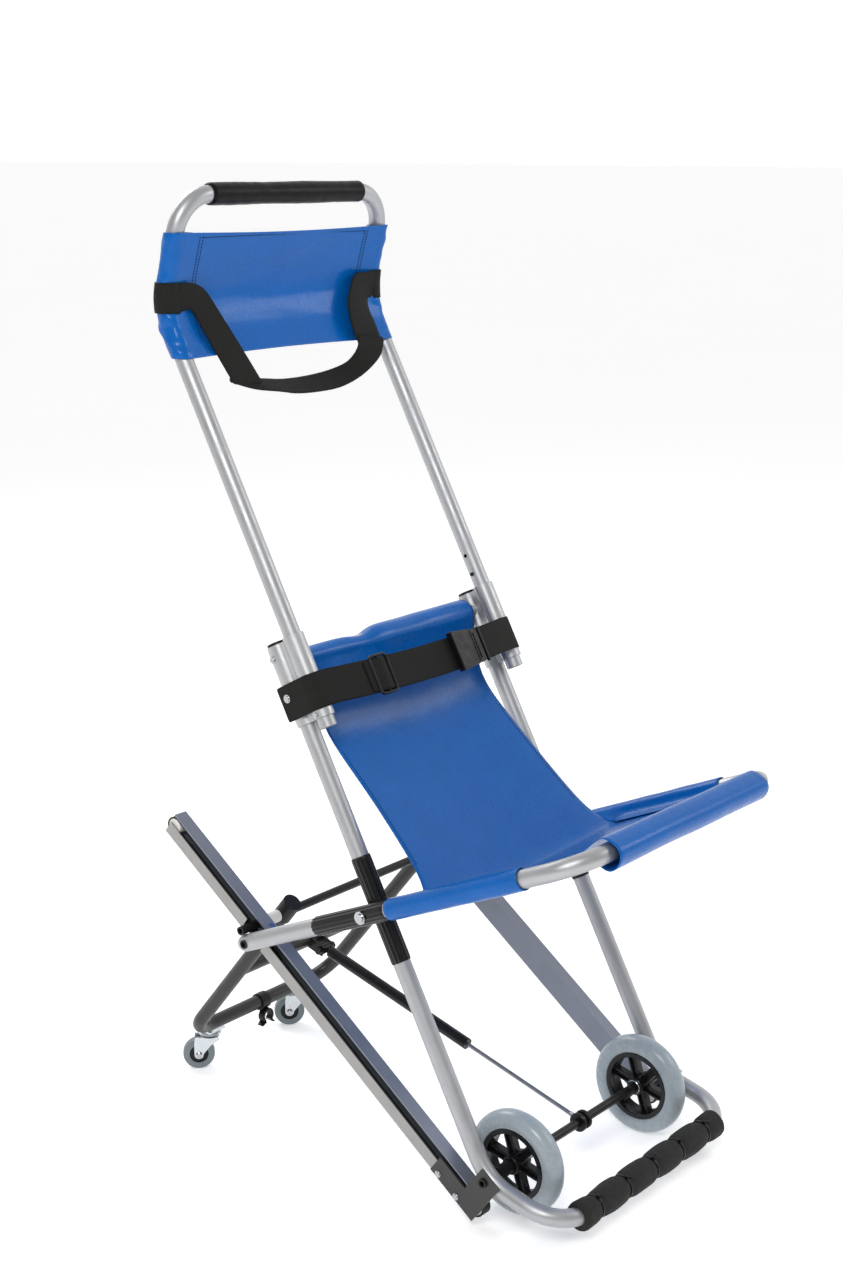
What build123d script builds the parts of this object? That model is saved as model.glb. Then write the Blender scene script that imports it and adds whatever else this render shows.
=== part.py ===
from build123d import *
import math
import os

# Stair chair, millimetres, +Z up, seat facing -Y. The sub-parts are laid out with y measured
# from the wheel axle; AXLE_Y then moves all of them so that the bounding box is centred.
AXLE_Y = -254.8

TUBE_R = 12.5
TUBE_WALL = 1.5
FIT = 0.05
GAP = 0.3

# Big wheels and their axle
WHEEL_R = 75.0
WHEEL_W = 32.0
RIM_R = 51.0
WHEEL_X = 153.0
AXLE = (0.0, 75.0)
AXLE_R = 6.5
AXLE_BORE = 4.0
AXLE_END = 232.0
SPOKES = 6

# Main U-tube: legs at MAIN_X, leaning back by MAIN_LEAN from the vertical
MAIN_X = 213.0
MAIN_LEAN = 28.8
MAIN_BEND = (5.1, 71.0)
MAIN_TOP = 777.0
MAIN_BEND_R = 80.0
FOOT = (-115.7, 41.0)
FOOT_BEND_R = 58.0
FOAM_R = 20.0
FOAM_HALF = 174.0
TIES = (-135.0, -67.0, 0.0, 67.0, 135.0)

# Clamps that join the main tube to the telescoping handle tube
BARREL_R = 15.5
BARREL_LOW = 660.0
BARREL_HIGH = 777.0
HANDLE_OFFSET = 34.0
CROSSBAR = (366.0, 728.0)
BELT_FRONT = 58.5

# Handle tube
HANDLE_LOW = 645.0
HANDLE_KINK_S = 1265.0
HANDLE_TOP = (552.0, 1356.0)
KINK_R = 90.0
HANDLE_BEND_R = 58.0
GRIP_R = 16.0
HEADREST_LOW = 1134.5
HEADREST_HIGH = 1305.0
STRAP_W = 40.0
STRAP_Y = 518.0
GRIP_HALF = 158.0
BUTTON_S = 800.0
BUTTON_R = 3.0
BUTTON_STEP = 30.0

# Seat loop
SEAT_X = 242.0
SEAT_PIVOT = (192.6, 412.0)
SEAT_RISE = 23.8
SEAT_REAR = 253.0
SEAT_FRONT = 374.0
SEAT_BEND_R = 60.0
BOLT_R = 4.0

# Tracks, in a local frame at the axle: t along the track, n square to it
TRACK_RISE = 36.3
TRACK_IN = 203.7
TRACK_OUT = 225.7
TRACK_TOP_N = -28.0
TRACK_LOW_N = -64.0
TRACK_T0 = -10.0
TRACK_T1 = 690.0
PULLEY_N = -47.0
PULLEY_T = (-12.0, 690.0)
PULLEY_R = 11.7
BELT_R = 14.5
PIVOT_T = 494.0
PIVOT_N = -46.0
ROD_END = 250.0

# Castor frame
CASTOR_X = 158.0
CASTOR_TUBE_R = 11.0
CASTOR_FOOT = (628.0, 80.0)
CASTOR_BEND_R = 45.0
STEM_X = 105.0
STEM_Y = 640.0
CASTOR_R = 25.0
CASTOR_W = 16.0
CASTOR_TRAIL = 18.0
CASTOR_HEADING = 135.7
STRUT_TOP = (488.0, 208.0)
STRUT_R = 8.8
STRUT_LENGTH = 293.0


def polar(degrees):
    """Unit vector in the side plane, measured from +Y towards +Z."""
    return math.cos(math.radians(degrees)), math.sin(math.radians(degrees))


MAIN_DIR = polar(90.0 - MAIN_LEAN)
MAIN_NORMAL = polar(180.0 - MAIN_LEAN)
SEAT_DIR = polar(180.0 - SEAT_RISE)
SEAT_NORMAL = polar(90.0 - SEAT_RISE)
TRACK_DIR = polar(TRACK_RISE)
TRACK_NORMAL = polar(90.0 + TRACK_RISE)


def on_frame(origin, along, across, s, n):
    y = origin[0] + s * along[0] + n * across[0]
    z = origin[1] + s * along[1] + n * across[1]
    return y, z


def main_at(s, n=0.0):
    return on_frame(MAIN_BEND, MAIN_DIR, MAIN_NORMAL, s, n)


def seat_at(r, n=0.0):
    return on_frame(SEAT_PIVOT, SEAT_DIR, SEAT_NORMAL, r, n)


def track_at(t, n):
    return on_frame(AXLE, TRACK_DIR, TRACK_NORMAL, t, n)


def rod(p, q, radius):
    """Solid cylinder from point p to point q."""
    start = Vector(*p)
    along = Vector(*q) - start
    plane = Plane(origin=start, z_dir=along.normalized())
    return extrude(plane * Circle(radius), amount=along.length)


def pipe(p, q, radius, bore):
    return rod(p, q, radius) - rod(p, q, bore)


def cross_rod(centre, x0, x1, radius):
    """Cylinder along X whose axis passes through (y, z)."""
    return rod((x0, *centre), (x1, *centre), radius)


def cross_pipe(centre, x0, x1, radius, bore):
    return cross_rod(centre, x0, x1, radius) - cross_rod(centre, x0, x1, bore)


def side_plate(points, x0, x1):
    """Flat plate with its outline in the side plane, from x0 to x1."""
    outline = Polyline(*[(0, y, z) for y, z in points], close=True)
    return Pos(x0, 0, 0) * extrude(make_face(outline), amount=x1 - x0, dir=(1, 0, 0))


def swept(points, radii, section):
    path = FilletPolyline(*points, radius=radii)
    return sweep(Plane(origin=path @ 0, z_dir=path % 0) * section, path=path)


def bent_tube(points, radii, outer, wall):
    return swept(points, radii, Circle(outer) - Circle(outer - wall))


def mirrored(shape):
    return mirror(shape, about=Plane.YZ)


def both_sides(shape):
    return [shape, mirrored(shape)]


def save(name, *shapes):
    """Writes one node, moved into the shared frame, as separate solids."""
    solids = []
    for shape in shapes:
        for solid in shape.solids():
            solids.append(Pos(0, AXLE_Y, 0) * solid)
    body = solids[0] if len(solids) == 1 else Compound(children=solids)
    export_step(body, f"parts/{name}.step")


# ---- main frame -------------------------------------------------------------------------

def u_points(side, legs):
    """Path that runs down one side plane, across, and up the other."""
    down = [(-side, y, z) for y, z in legs]
    up = [(side, y, z) for y, z in reversed(legs)]
    return down + up


def main_tube():
    legs = [main_at(MAIN_TOP - 3), MAIN_BEND, FOOT]
    radii = [MAIN_BEND_R, FOOT_BEND_R, FOOT_BEND_R, MAIN_BEND_R]
    tube = bent_tube(u_points(MAIN_X, legs), radii, TUBE_R, TUBE_WALL)
    tube -= cross_rod(AXLE, -AXLE_END, AXLE_END, AXLE_R + FIT)
    return tube - cross_rod(SEAT_PIVOT, -AXLE_END, AXLE_END, BOLT_R + FIT)


def foot_foam():
    return cross_pipe(FOOT, -FOAM_HALF + 22, FOAM_HALF - 22, FOAM_R, TUBE_R + FIT)


def foot_ties():
    ring = cross_pipe(FOOT, -2.4, 2.4, FOAM_R + 1.4, FOAM_R + FIT)
    head = Box(5, 6, 4).moved(Location((0, FOOT[0] - 8, FOOT[1] + FOAM_R + 2.4)))
    head -= cross_rod(FOOT, -5, 5, FOAM_R + 1.4)
    return [Pos(x, 0, 0) * (ring + head) for x in TIES]


def barrel(offset, low, high):
    p = (MAIN_X, *main_at(low, offset))
    q = (MAIN_X, *main_at(high, offset))
    return rod(p, q, BARREL_R)


def barrel_bore(offset, radius):
    p = (MAIN_X, *main_at(BARREL_LOW - 10, offset))
    q = (MAIN_X, *main_at(BARREL_HIGH + 10, offset))
    return rod(p, q, radius)


def web_outline(s0, s1, n0, n1, at):
    return [at(s0, n0), at(s0, n1), at(s1, n1), at(s1, n0)]


def clamp():
    """Double barrel: the rear one grips the main tube, the front one guides the handle."""
    shell = barrel(0, BARREL_LOW, BARREL_HIGH)
    shell += barrel(HANDLE_OFFSET, BARREL_LOW, BARREL_HIGH + 3)
    web = web_outline(BARREL_LOW, BARREL_HIGH, 8, HANDLE_OFFSET - 8, main_at)
    shell += side_plate(web, MAIN_X - 9, MAIN_X + 9)
    shell -= barrel_bore(0, TUBE_R + FIT)
    shell -= barrel_bore(HANDLE_OFFSET, TUBE_R + 0.1)
    low, high = BARREL_LOW - 10, BARREL_HIGH + 10
    slot = web_outline(low, high, HANDLE_OFFSET - 4, HANDLE_OFFSET + 4, main_at)
    return shell - side_plate(slot, MAIN_X - BARREL_R - 1, MAIN_X - 8)


def tube_plug():
    cap = rod((MAIN_X, *main_at(MAIN_TOP)), (MAIN_X, *main_at(MAIN_TOP + 4)), BARREL_R - 1.5)
    stem = rod((MAIN_X, *main_at(MAIN_TOP - 14)), (MAIN_X, *main_at(MAIN_TOP)), TUBE_R - TUBE_WALL - FIT)
    return cap + stem


def button_head(centre, x0, radius, height):
    """Low domed screw or rivet head standing outwards from x0."""
    base = cross_rod(centre, x0, x0 + height * 0.5, radius)
    return base + cross_rod(centre, x0 + height * 0.5, x0 + height, radius * 0.7)


def clamp_screws():
    rear = button_head(main_at(759.6, -3.3), MAIN_X + BARREL_R, 5.0, 2.2)
    belt = button_head(main_at(702.3, -2.9), MAIN_X + BARREL_R + 1.7, 6.0, 2.4)
    front = button_head(main_at(665.0, HANDLE_OFFSET), MAIN_X + BARREL_R, 4.5, 2.2)
    return both_sides(rear) + both_sides(belt) + both_sides(front)


def back_crossbar():
    bar = cross_pipe(CROSSBAR, -MAIN_X, MAIN_X, TUBE_R, TUBE_R - TUBE_WALL)
    for side in (-1, 1):
        p = (side * MAIN_X, *main_at(BARREL_LOW - 30))
        q = (side * MAIN_X, *main_at(BARREL_HIGH + 30))
        bar -= rod(p, q, BARREL_R + FIT)
    return max(bar.solids(), key=lambda solid: solid.volume)


def pivot_sleeve():
    p = (MAIN_X, *main_at(312.6))
    q = (MAIN_X, *main_at(465.6))
    sleeve = pipe(p, q, 14.0, TUBE_R + FIT)
    return sleeve - cross_rod(SEAT_PIVOT, 0, AXLE_END, BOLT_R + FIT)


def wheel_axle():
    return cross_pipe(AXLE, -AXLE_END, AXLE_END, AXLE_R, AXLE_BORE)


def axle_bushes():
    outer_x0 = WHEEL_X + WHEEL_W / 2 + GAP
    bush = cross_pipe(AXLE, outer_x0, 200.0, 9.5, AXLE_R + FIT)
    inner_x = WHEEL_X - WHEEL_W / 2 - GAP
    washer = cross_pipe(AXLE, inner_x - 3.0, inner_x, 10.0, AXLE_R + FIT)
    return both_sides(bush) + both_sides(washer)


def belt_path():
    """Chest belt seen along the barrels: from the screw, round the front barrel, across."""
    outer = MAIN_X + BARREL_R + 0.9
    path = [(outer, -14.0), (outer, HANDLE_OFFSET)]
    for degrees in (25, 50, 72):
        x, n = polar(degrees)
        path.append((MAIN_X + 17.4 * x, HANDLE_OFFSET + 17.4 * n))
    return path + [(150.0, BELT_FRONT - 1.5), (118.0, BELT_FRONT)]


def thick_outline(points, thickness):
    """Closed outline of a line of the given thickness, mitred at its corners."""
    left, right = [], []
    for i, (x, y) in enumerate(points):
        before = points[max(i - 1, 0)]
        after = points[min(i + 1, len(points) - 1)]
        length = math.hypot(after[0] - before[0], after[1] - before[1])
        nx, ny = -(after[1] - before[1]) / length, (after[0] - before[0]) / length
        left.append((x + nx * thickness / 2, y + ny * thickness / 2))
        right.append((x - nx * thickness / 2, y - ny * thickness / 2))
    return left + right[::-1]


def belt_solid(points, half_width, thickness, s):
    """Upright strap: a thick line in the plane square to the main tube, raised along it."""
    outline = []
    for x, n in thick_outline(points, thickness):
        outline.append((x, *main_at(s - half_width, n)))
    face = make_face(Polyline(*outline, close=True))
    return extrude(face, amount=2 * half_width, dir=(0, *MAIN_DIR))


def chest_belt():
    half = belt_solid(belt_path() + [(0.0, BELT_FRONT)], 25.0, 1.5, 696.0)
    return half + mirrored(half)


def belt_box(x0, x1, s0, s1, n0, n1):
    return side_plate(web_outline(s0, s1, n0, n1, main_at), x0, x1)


def belt_adjuster():
    frame = belt_box(-118, -82, 667, 725, BELT_FRONT + 0.8, BELT_FRONT + 4.4)
    for x0 in (-113, -97):
        frame -= belt_box(x0, x0 + 10, 672, 720, BELT_FRONT, BELT_FRONT + 6)
    return frame


def buckle_body():
    return belt_box(58, 104, 665, 727, BELT_FRONT + 0.8, BELT_FRONT + 9.0)


def buckle_prongs():
    return belt_box(104.2, 128, 668, 724, BELT_FRONT + 0.8, BELT_FRONT + 7.4)


# ---- handle -----------------------------------------------------------------------------

HANDLE_KINK = main_at(HANDLE_KINK_S, HANDLE_OFFSET)


def handle_sweep(section):
    legs = [main_at(HANDLE_LOW, HANDLE_OFFSET), HANDLE_KINK, HANDLE_TOP]
    radii = [KINK_R, HANDLE_BEND_R, HANDLE_BEND_R, KINK_R]
    return swept(u_points(MAIN_X, legs), radii, section)


def handle_tube():
    tube = handle_sweep(Circle(TUBE_R) - Circle(TUBE_R - TUBE_WALL))
    inner, middle = MAIN_X - TUBE_R - 2, MAIN_X - 5
    for side in (-1, 1):
        for s in (BUTTON_S, BUTTON_S + BUTTON_STEP):
            hole = main_at(s, HANDLE_OFFSET)
            tube -= cross_rod(hole, side * inner, side * middle, BUTTON_R + FIT)
    return tube


def snap_button():
    """Spring button in the handle tube, standing out on the inner side."""
    centre = main_at(BUTTON_S, HANDLE_OFFSET)
    pin = cross_rod(centre, MAIN_X - TUBE_R - 2.6, MAIN_X - TUBE_R + 4.0, BUTTON_R)
    return pin + cross_rod(centre, MAIN_X - TUBE_R + 3.0, MAIN_X - TUBE_R + 4.5, BUTTON_R + 1.5)


def handle_grip():
    return cross_pipe(HANDLE_TOP, -GRIP_HALF + 4, GRIP_HALF - 4, GRIP_R, TUBE_R + FIT)


def handle_y(z):
    """Height to depth on the straight lower part and the upright upper part of the handle."""
    if z < HANDLE_KINK[1]:
        low = main_at(HANDLE_LOW, HANDLE_OFFSET)
        return low[0] + (z - low[1]) * (HANDLE_KINK[0] - low[0]) / (HANDLE_KINK[1] - low[1])
    lean = (HANDLE_TOP[0] - HANDLE_KINK[0]) / (HANDLE_TOP[1] - HANDLE_KINK[1])
    return HANDLE_KINK[0] + (z - HANDLE_KINK[1]) * lean


def handle_shell(side, low, high, outer, bore):
    """Sleeve round one handle tube between two heights, following its bend."""
    path = [(side * MAIN_X, handle_y(z), z) for z in (low - 60, HANDLE_KINK[1], high + 60)]
    shell = swept(path, KINK_R, Circle(outer) - Circle(bore))
    middle = (low + high) / 2
    slab = Box(200, 400, high - low).moved(Location((side * MAIN_X, handle_y(middle), middle)))
    return shell & slab


def strap_wraps():
    return [handle_shell(side, 1194.5, 1237.5, TUBE_R + 5.2, TUBE_R + 3.7) for side in (-1, 1)]


def headrest():
    """Band of fabric across the front of the handle, with a sleeve on each tube."""
    heights = (HEADREST_LOW, HANDLE_KINK[1], HEADREST_HIGH)
    face = [(handle_y(z) - TUBE_R - 3.0, z) for z in heights]
    back = [(handle_y(z) - TUBE_R - 0.8, z) for z in reversed(heights)]
    body = side_plate(face + back, -MAIN_X, MAIN_X)
    for side in (-1, 1):
        body += handle_shell(side, HEADREST_LOW, HEADREST_HIGH, TUBE_R + 3.6, 1.0)
    for wrap in strap_wraps():
        body -= wrap
    body -= handle_sweep(Circle(TUBE_R + 0.1))
    return max(body.solids(), key=lambda solid: solid.volume)


def strap_leg(top, bottom):
    """Straight run of webbing in front of the headrest, seen as a leaning flat bar."""
    start = Vector(*top)
    along = Vector(*bottom) - start
    across = Vector(0, -1, 0).cross(along).normalized()
    facing = along.cross(across).normalized()
    plane = Plane(origin=start + along * 0.5, x_dir=along.normalized(), z_dir=facing)
    return extrude(plane * Rectangle(along.length, STRAP_W), amount=0.8, both=True)


def head_strap():
    """Webbing loop that hangs in front of the headrest from a wrap on each tube."""
    y = STRAP_Y
    run = [(-160, 1101), (-94, 1088), (-32, 1076), (45, 1083), (101, 1105), (150, 1131)]
    outline = [(x, y, z) for x, z in thick_outline(run, STRAP_W)]
    strap = extrude(make_face(Polyline(*outline, close=True)), amount=0.8, both=True)
    for side, x, z in ((-1, -156, 1101), (1, 156, 1130)):
        strap += strap_leg((side * (MAIN_X - 6), handle_y(1216) - TUBE_R - 4.6, 1216), (x, y, z))
    for wrap in strap_wraps():
        strap += wrap
    strap -= headrest()
    return max(strap.solids(), key=lambda solid: solid.volume)


# ---- seat -------------------------------------------------------------------------------

def seat_frame():
    legs = [seat_at(-SEAT_REAR + 3), seat_at(SEAT_FRONT)]
    tube = bent_tube(u_points(SEAT_X, legs), SEAT_BEND_R, TUBE_R, TUBE_WALL)
    tube -= cross_rod(seat_at(-242.0), -SEAT_X - 20, SEAT_X + 20, AXLE_R + FIT)
    return tube - cross_rod(SEAT_PIVOT, -SEAT_X - 20, SEAT_X + 20, BOLT_R + FIT)


def seat_end_plug():
    """Rounded end cap with its hollow cross pin."""
    dome = Sphere(TUBE_R - 0.1).moved(Location((SEAT_X, *seat_at(-SEAT_REAR + 3 + 0.1))))
    cutter = rod((SEAT_X, *seat_at(-SEAT_REAR + 3)), (SEAT_X, *seat_at(0)), 30)
    return dome - cutter


def seat_cross_pins():
    return both_sides(cross_pipe(seat_at(-242.0), SEAT_X - 13.0, SEAT_X + 13.8, AXLE_R, 4.2))


def seat_pivot_sleeve():
    p = (SEAT_X, *seat_at(-98.0))
    q = (SEAT_X, *seat_at(41.5))
    return pipe(p, q, 14.0, TUBE_R + FIT) - cross_rod(SEAT_PIVOT, 0, 300, BOLT_R + FIT)


def seat_pivot_bolt():
    shank = cross_rod(SEAT_PIVOT, MAIN_X - 9.0, SEAT_X + 14.0, BOLT_R)
    head = button_head(SEAT_PIVOT, SEAT_X + 14.0, 9.0, 4.0)
    return shank + head


def pivot_washer():
    return cross_pipe(SEAT_PIVOT, MAIN_X + 14.3, SEAT_X - 14.05, 9.0, BOLT_R + FIT)


SLING_BACK = [(356.5, 714.5), (340.0, 668.0), (326.0, 640.0), (282.0, 594.0), (228.0, 545.0),
              (176.0, 499.0), (142.0, 471.0)]
SLING_CREASE = [(134.0, 465.0), (116.0, 448.0), (98.0, 443.6)]
SLING_N = -9.0


def ribbon(points, x_half, thickness):
    """Thin band that follows points in the side plane, symmetric across X."""
    above = [(y, z + thickness / 2) for y, z in points]
    below = [(y, z - thickness / 2) for y, z in reversed(points)]
    return side_plate(above + below, -x_half, x_half)


def sling_back():
    """Upper half of the sling, hung from the back crossbar."""
    panel = ribbon(SLING_BACK, 184.0, 3.0)
    loop = cross_rod(CROSSBAR, -184.0, 184.0, TUBE_R + 4.0)
    panel += loop
    return panel - cross_rod(CROSSBAR, -190.0, 190.0, TUBE_R + 1.0)


def sling_seat():
    """Seat half of the sling, with a sleeve on each side tube and on the front bar."""
    low, high = SLING_N - 1.5, SLING_N + 1.5
    panel = ribbon(SLING_CREASE, 192.0, 3.0)
    panel += side_plate(web_outline(75.0, 284.0, low, high, seat_at), -SEAT_X, SEAT_X)
    panel += side_plate(web_outline(280.0, SEAT_FRONT, low, high, seat_at), -178.0, 178.0)
    panel += cross_rod(seat_at(SEAT_FRONT), -178.0, 178.0, TUBE_R + 4.0)
    for side in (-1, 1):
        sleeve = rod((side * SEAT_X, *seat_at(46.0)), (side * SEAT_X, *seat_at(284.0)), TUBE_R + 2.5)
        panel += sleeve
        panel -= rod((side * SEAT_X, *seat_at(0.0)), (side * SEAT_X, *seat_at(300.0)), TUBE_R + 0.6)
    return panel - cross_rod(seat_at(SEAT_FRONT), -190.0, 190.0, TUBE_R + 1.0)


# ---- tracks -----------------------------------------------------------------------------

def track_box(t0, t1, n0, n1, x0, x1):
    return side_plate(web_outline(t0, t1, n0, n1, track_at), x0, x1)


def track_rail():
    """Channel of one track: web on top, wall on the inner side."""
    web = track_box(TRACK_T0, TRACK_T1 + 8, TRACK_TOP_N - 2.0, TRACK_TOP_N, TRACK_IN, TRACK_OUT)
    wall = track_box(TRACK_T0, TRACK_T1 + 8, TRACK_LOW_N, TRACK_TOP_N - 2.0, TRACK_IN, TRACK_IN + 2.0)
    rail = web + wall
    rail -= cross_rod(track_at(PIVOT_T, PIVOT_N), 180, 260, AXLE_R + FIT)
    return rail


def track_strip():
    """Light strip along the outer side below the belt, with a gap at the pivot rod."""
    x0 = TRACK_OUT - 2.0
    low = track_box(TRACK_T0, 462.0, TRACK_LOW_N, -45.0, x0, TRACK_OUT)
    high = track_box(507.0, TRACK_T1 + 8, TRACK_LOW_N, -45.0, x0, TRACK_OUT)
    foot = track_box(8.0, 462.0, TRACK_LOW_N, TRACK_LOW_N + 1.0, TRACK_IN + 2.0, x0)
    return [low, high + track_box(507.0, 660.0, TRACK_LOW_N, TRACK_LOW_N + 1.0, TRACK_IN + 2.0, x0), foot]


def belt_loop():
    """Endless belt round the two pulleys of a track."""
    x0, x1 = TRACK_IN + 3.0, TRACK_OUT - 3.0

    def outline(radius):
        shape = track_box(PULLEY_T[0], PULLEY_T[1], PULLEY_N - radius, PULLEY_N + radius, x0, x1)
        for t in PULLEY_T:
            shape += cross_rod(track_at(t, PULLEY_N), x0, x1, radius)
        return shape

    return outline(BELT_R) - outline(PULLEY_R + GAP)


def pulley(t):
    centre = track_at(t, PULLEY_N)
    x0, x1 = TRACK_IN + 3.4, TRACK_OUT - 3.4
    wheel = cross_pipe(centre, x0, x1, PULLEY_R, 3.0 + FIT)
    groove = cross_pipe(centre, (x0 + x1) / 2 - 1.5, (x0 + x1) / 2 + 1.5, PULLEY_R + 1, PULLEY_R - 1.2)
    return wheel - groove


def pulley_pins():
    pins = []
    for t in PULLEY_T:
        pins += both_sides(cross_rod(track_at(t, PULLEY_N), TRACK_IN + 2.0, TRACK_OUT - 2.0, 3.0))
    return pins


def bracket():
    """Flat L-shaped plate that hangs the track from the axle."""
    x0, x1 = TRACK_OUT + 0.05, TRACK_OUT + 3.0
    upper = track_box(-22, 14, -63, 14, x0, x1)
    lower = track_box(-22, 67, -63, -34, x0, x1)
    plate = upper + lower
    return plate - cross_rod(AXLE, 200, 260, AXLE_R + FIT)


def bracket_screws():
    screws = []
    for t in (15.6, 54.2):
        screws += both_sides(button_head(track_at(t, -57.0), TRACK_OUT + 3.0, 5.0, 2.4))
    web = rod((MAIN_X, *track_at(474.0, TRACK_TOP_N)), (MAIN_X, *track_at(474.0, TRACK_TOP_N + 2.4)), 5.0)
    return screws + both_sides(web)


def pivot_rod():
    return cross_pipe(track_at(PIVOT_T, PIVOT_N), -ROD_END, ROD_END, AXLE_R, AXLE_BORE)


def rod_spacers():
    centre = track_at(PIVOT_T, PIVOT_N)
    return both_sides(cross_pipe(centre, CASTOR_X + 14.4, TRACK_IN, 9.0, AXLE_R + FIT))


# ---- castor frame -----------------------------------------------------------------------

PIVOT = track_at(PIVOT_T, PIVOT_N)
LEG_LENGTH = math.dist(PIVOT, CASTOR_FOOT)
LEG_DIR = ((CASTOR_FOOT[0] - PIVOT[0]) / LEG_LENGTH, (CASTOR_FOOT[1] - PIVOT[1]) / LEG_LENGTH)
LEG_NORMAL = (-LEG_DIR[1], LEG_DIR[0])


def leg_at(s, n=0.0):
    return on_frame(PIVOT, LEG_DIR, LEG_NORMAL, s, n)


def castor_frame():
    legs = [leg_at(-24.0), CASTOR_FOOT]
    tube = bent_tube(u_points(CASTOR_X, legs), CASTOR_BEND_R, CASTOR_TUBE_R, 1.5)
    return tube - cross_rod(PIVOT, -200, 200, AXLE_R + FIT)


def leg_cap():
    inner = rod((CASTOR_X, *leg_at(-24.0)), (CASTOR_X, *leg_at(8.0)), CASTOR_TUBE_R + FIT)
    cap = rod((CASTOR_X, *leg_at(-26.5)), (CASTOR_X, *leg_at(8.0)), 14.0)
    return cap - inner - cross_rod(PIVOT, 100, 200, AXLE_R + FIT)


def upper_cross_tube():
    centre = leg_at(145.0)
    tube = cross_pipe(centre, -CASTOR_X, CASTOR_X, CASTOR_TUBE_R, CASTOR_TUBE_R - 1.5)
    for side in (-1, 1):
        tube -= rod((side * CASTOR_X, *leg_at(100.0)), (side * CASTOR_X, *leg_at(190.0)), CASTOR_TUBE_R)
    return max(tube.solids(), key=lambda solid: solid.volume)


def strut_bracket():
    """Two ears on the upper cross tube, each with a stub of the pin on its outer side."""
    tube = leg_at(145.0)
    dy, dz = STRUT_TOP[0] - tube[0], STRUT_TOP[1] - tube[1]
    reach = math.hypot(dy, dz)
    ny, nz = -dz / reach * 10, dy / reach * 10
    tip = (STRUT_TOP[0] + dy / reach * 6, STRUT_TOP[1] + dz / reach * 6)
    outline = [(tube[0] + ny, tube[1] + nz), (tip[0] + ny * 0.8, tip[1] + nz * 0.8)]
    outline += [(tip[0] - ny * 0.8, tip[1] - nz * 0.8), (tube[0] - ny, tube[1] - nz)]
    ear = side_plate(outline, 9.0, 12.0)
    ear -= cross_rod(tube, 0, 20, CASTOR_TUBE_R + FIT)
    ear = max(ear.solids(), key=lambda solid: solid.volume)
    return both_sides(ear + cross_rod(STRUT_TOP, 12.0, 18.0, 5.5))


def stowage_clip():
    """Lobed plastic clip under the middle of the bottom tube."""
    y, z = CASTOR_FOOT
    ring = cross_pipe(CASTOR_FOOT, -9, 9, CASTOR_TUBE_R + 2.5, CASTOR_TUBE_R + FIT)
    lobes = []
    for x in (-9.0, 9.0):
        lobe = Box(10, 12, 22).moved(Location((x, y - 10, z - 22)))
        lobes.append(lobe - cross_rod(CASTOR_FOOT, -30, 30, CASTOR_TUBE_R + FIT))
    return ring + lobes[0] + lobes[1]


def castor_plate(side):
    """Plate and stem housing that carries one castor below the bottom tube."""
    x = side * STEM_X
    top = 66.0
    plate = Box(34, 34, 3).moved(Location((x, STEM_Y, top)))
    pad = Box(26, 20, 10).moved(Location((x, CASTOR_FOOT[0] + 3, top + 5)))
    pad -= cross_rod(CASTOR_FOOT, -200, 200, CASTOR_TUBE_R + FIT)
    pad = max(pad.solids(), key=lambda solid: -solid.center().Z)
    return plate + pad


def castor_wheel_centre(side):
    angle = math.radians(CASTOR_HEADING)
    x = side * STEM_X + CASTOR_TRAIL * math.cos(angle)
    return x, STEM_Y + CASTOR_TRAIL * math.sin(angle)


def castor_axis():
    angle = math.radians(CASTOR_HEADING - 90.0)
    return Vector(math.cos(angle), math.sin(angle), 0)


def castor_fork(side):
    """Swivel head with two cheeks that taper to the wheel pin."""
    x, y = castor_wheel_centre(side)
    sideways = castor_axis()
    heading = sideways.rotate(Axis.Z, 90)
    head = Cylinder(15.0, 6.0).moved(Location((side * STEM_X, STEM_Y, 61.0)))
    crown = Cylinder(17.0, 2.6).moved(Location((side * STEM_X, STEM_Y, 56.8)))
    fork = head + crown
    for sign in (-1, 1):
        plane = Plane(origin=(x, y, 0), x_dir=heading, z_dir=sideways)
        up = plane.y_dir.Z
        points = [(-30, up * 58), (8, up * 58), (8, up * 30), (5, up * 17), (-5, up * 17), (-30, up * 50)]
        cheek = extrude(plane * make_face(Polyline(*points, close=True)), amount=2.0)
        shift = sideways * (sign * (CASTOR_W / 2 + 1.5) - 1.0)
        fork += cheek.moved(Location((shift.X, shift.Y, shift.Z)))
    centre = Vector(x, y, CASTOR_R)
    return fork + rod(tuple(centre - sideways * 12), tuple(centre + sideways * 12), 3.0)


def castor_wheel(side):
    x, y = castor_wheel_centre(side)
    sideways = castor_axis() * (CASTOR_W / 2)
    centre = Vector(x, y, CASTOR_R)
    return pipe(tuple(centre - sideways), tuple(centre + sideways), CASTOR_R, 3.0 + FIT)


# ---- gas strut --------------------------------------------------------------------------

STRUT_REACH = math.dist(AXLE, STRUT_TOP)
STRUT_DIR = ((STRUT_TOP[0] - AXLE[0]) / STRUT_REACH, (STRUT_TOP[1] - AXLE[1]) / STRUT_REACH)


def strut_at(s):
    return 0.0, AXLE[0] + s * STRUT_DIR[0], AXLE[1] + s * STRUT_DIR[1]


def strut_rod():
    collar = cross_rod(AXLE, -9.0, 9.0, 14.0)
    shaft = rod(strut_at(8.0), strut_at(330.0), 3.0)
    return collar + shaft - cross_rod(AXLE, -20, 20, AXLE_R + FIT)


def strut_cylinder():
    start = STRUT_REACH - STRUT_LENGTH
    end = STRUT_REACH - 12.0
    shell = rod(strut_at(start), strut_at(end), STRUT_R)
    shell -= rod(strut_at(start + 8.0), strut_at(end - 8.0), 7.0)
    shell -= rod(strut_at(start - 1.0), strut_at(start + 10.0), 3.0 + FIT)
    eye = cross_rod(STRUT_TOP, -8.0, 8.0, 8.0)
    neck = rod(strut_at(end - 6.0), strut_at(STRUT_REACH - 4.0), 5.0)
    return shell + eye + neck


# ---- wheels -----------------------------------------------------------------------------

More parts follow.
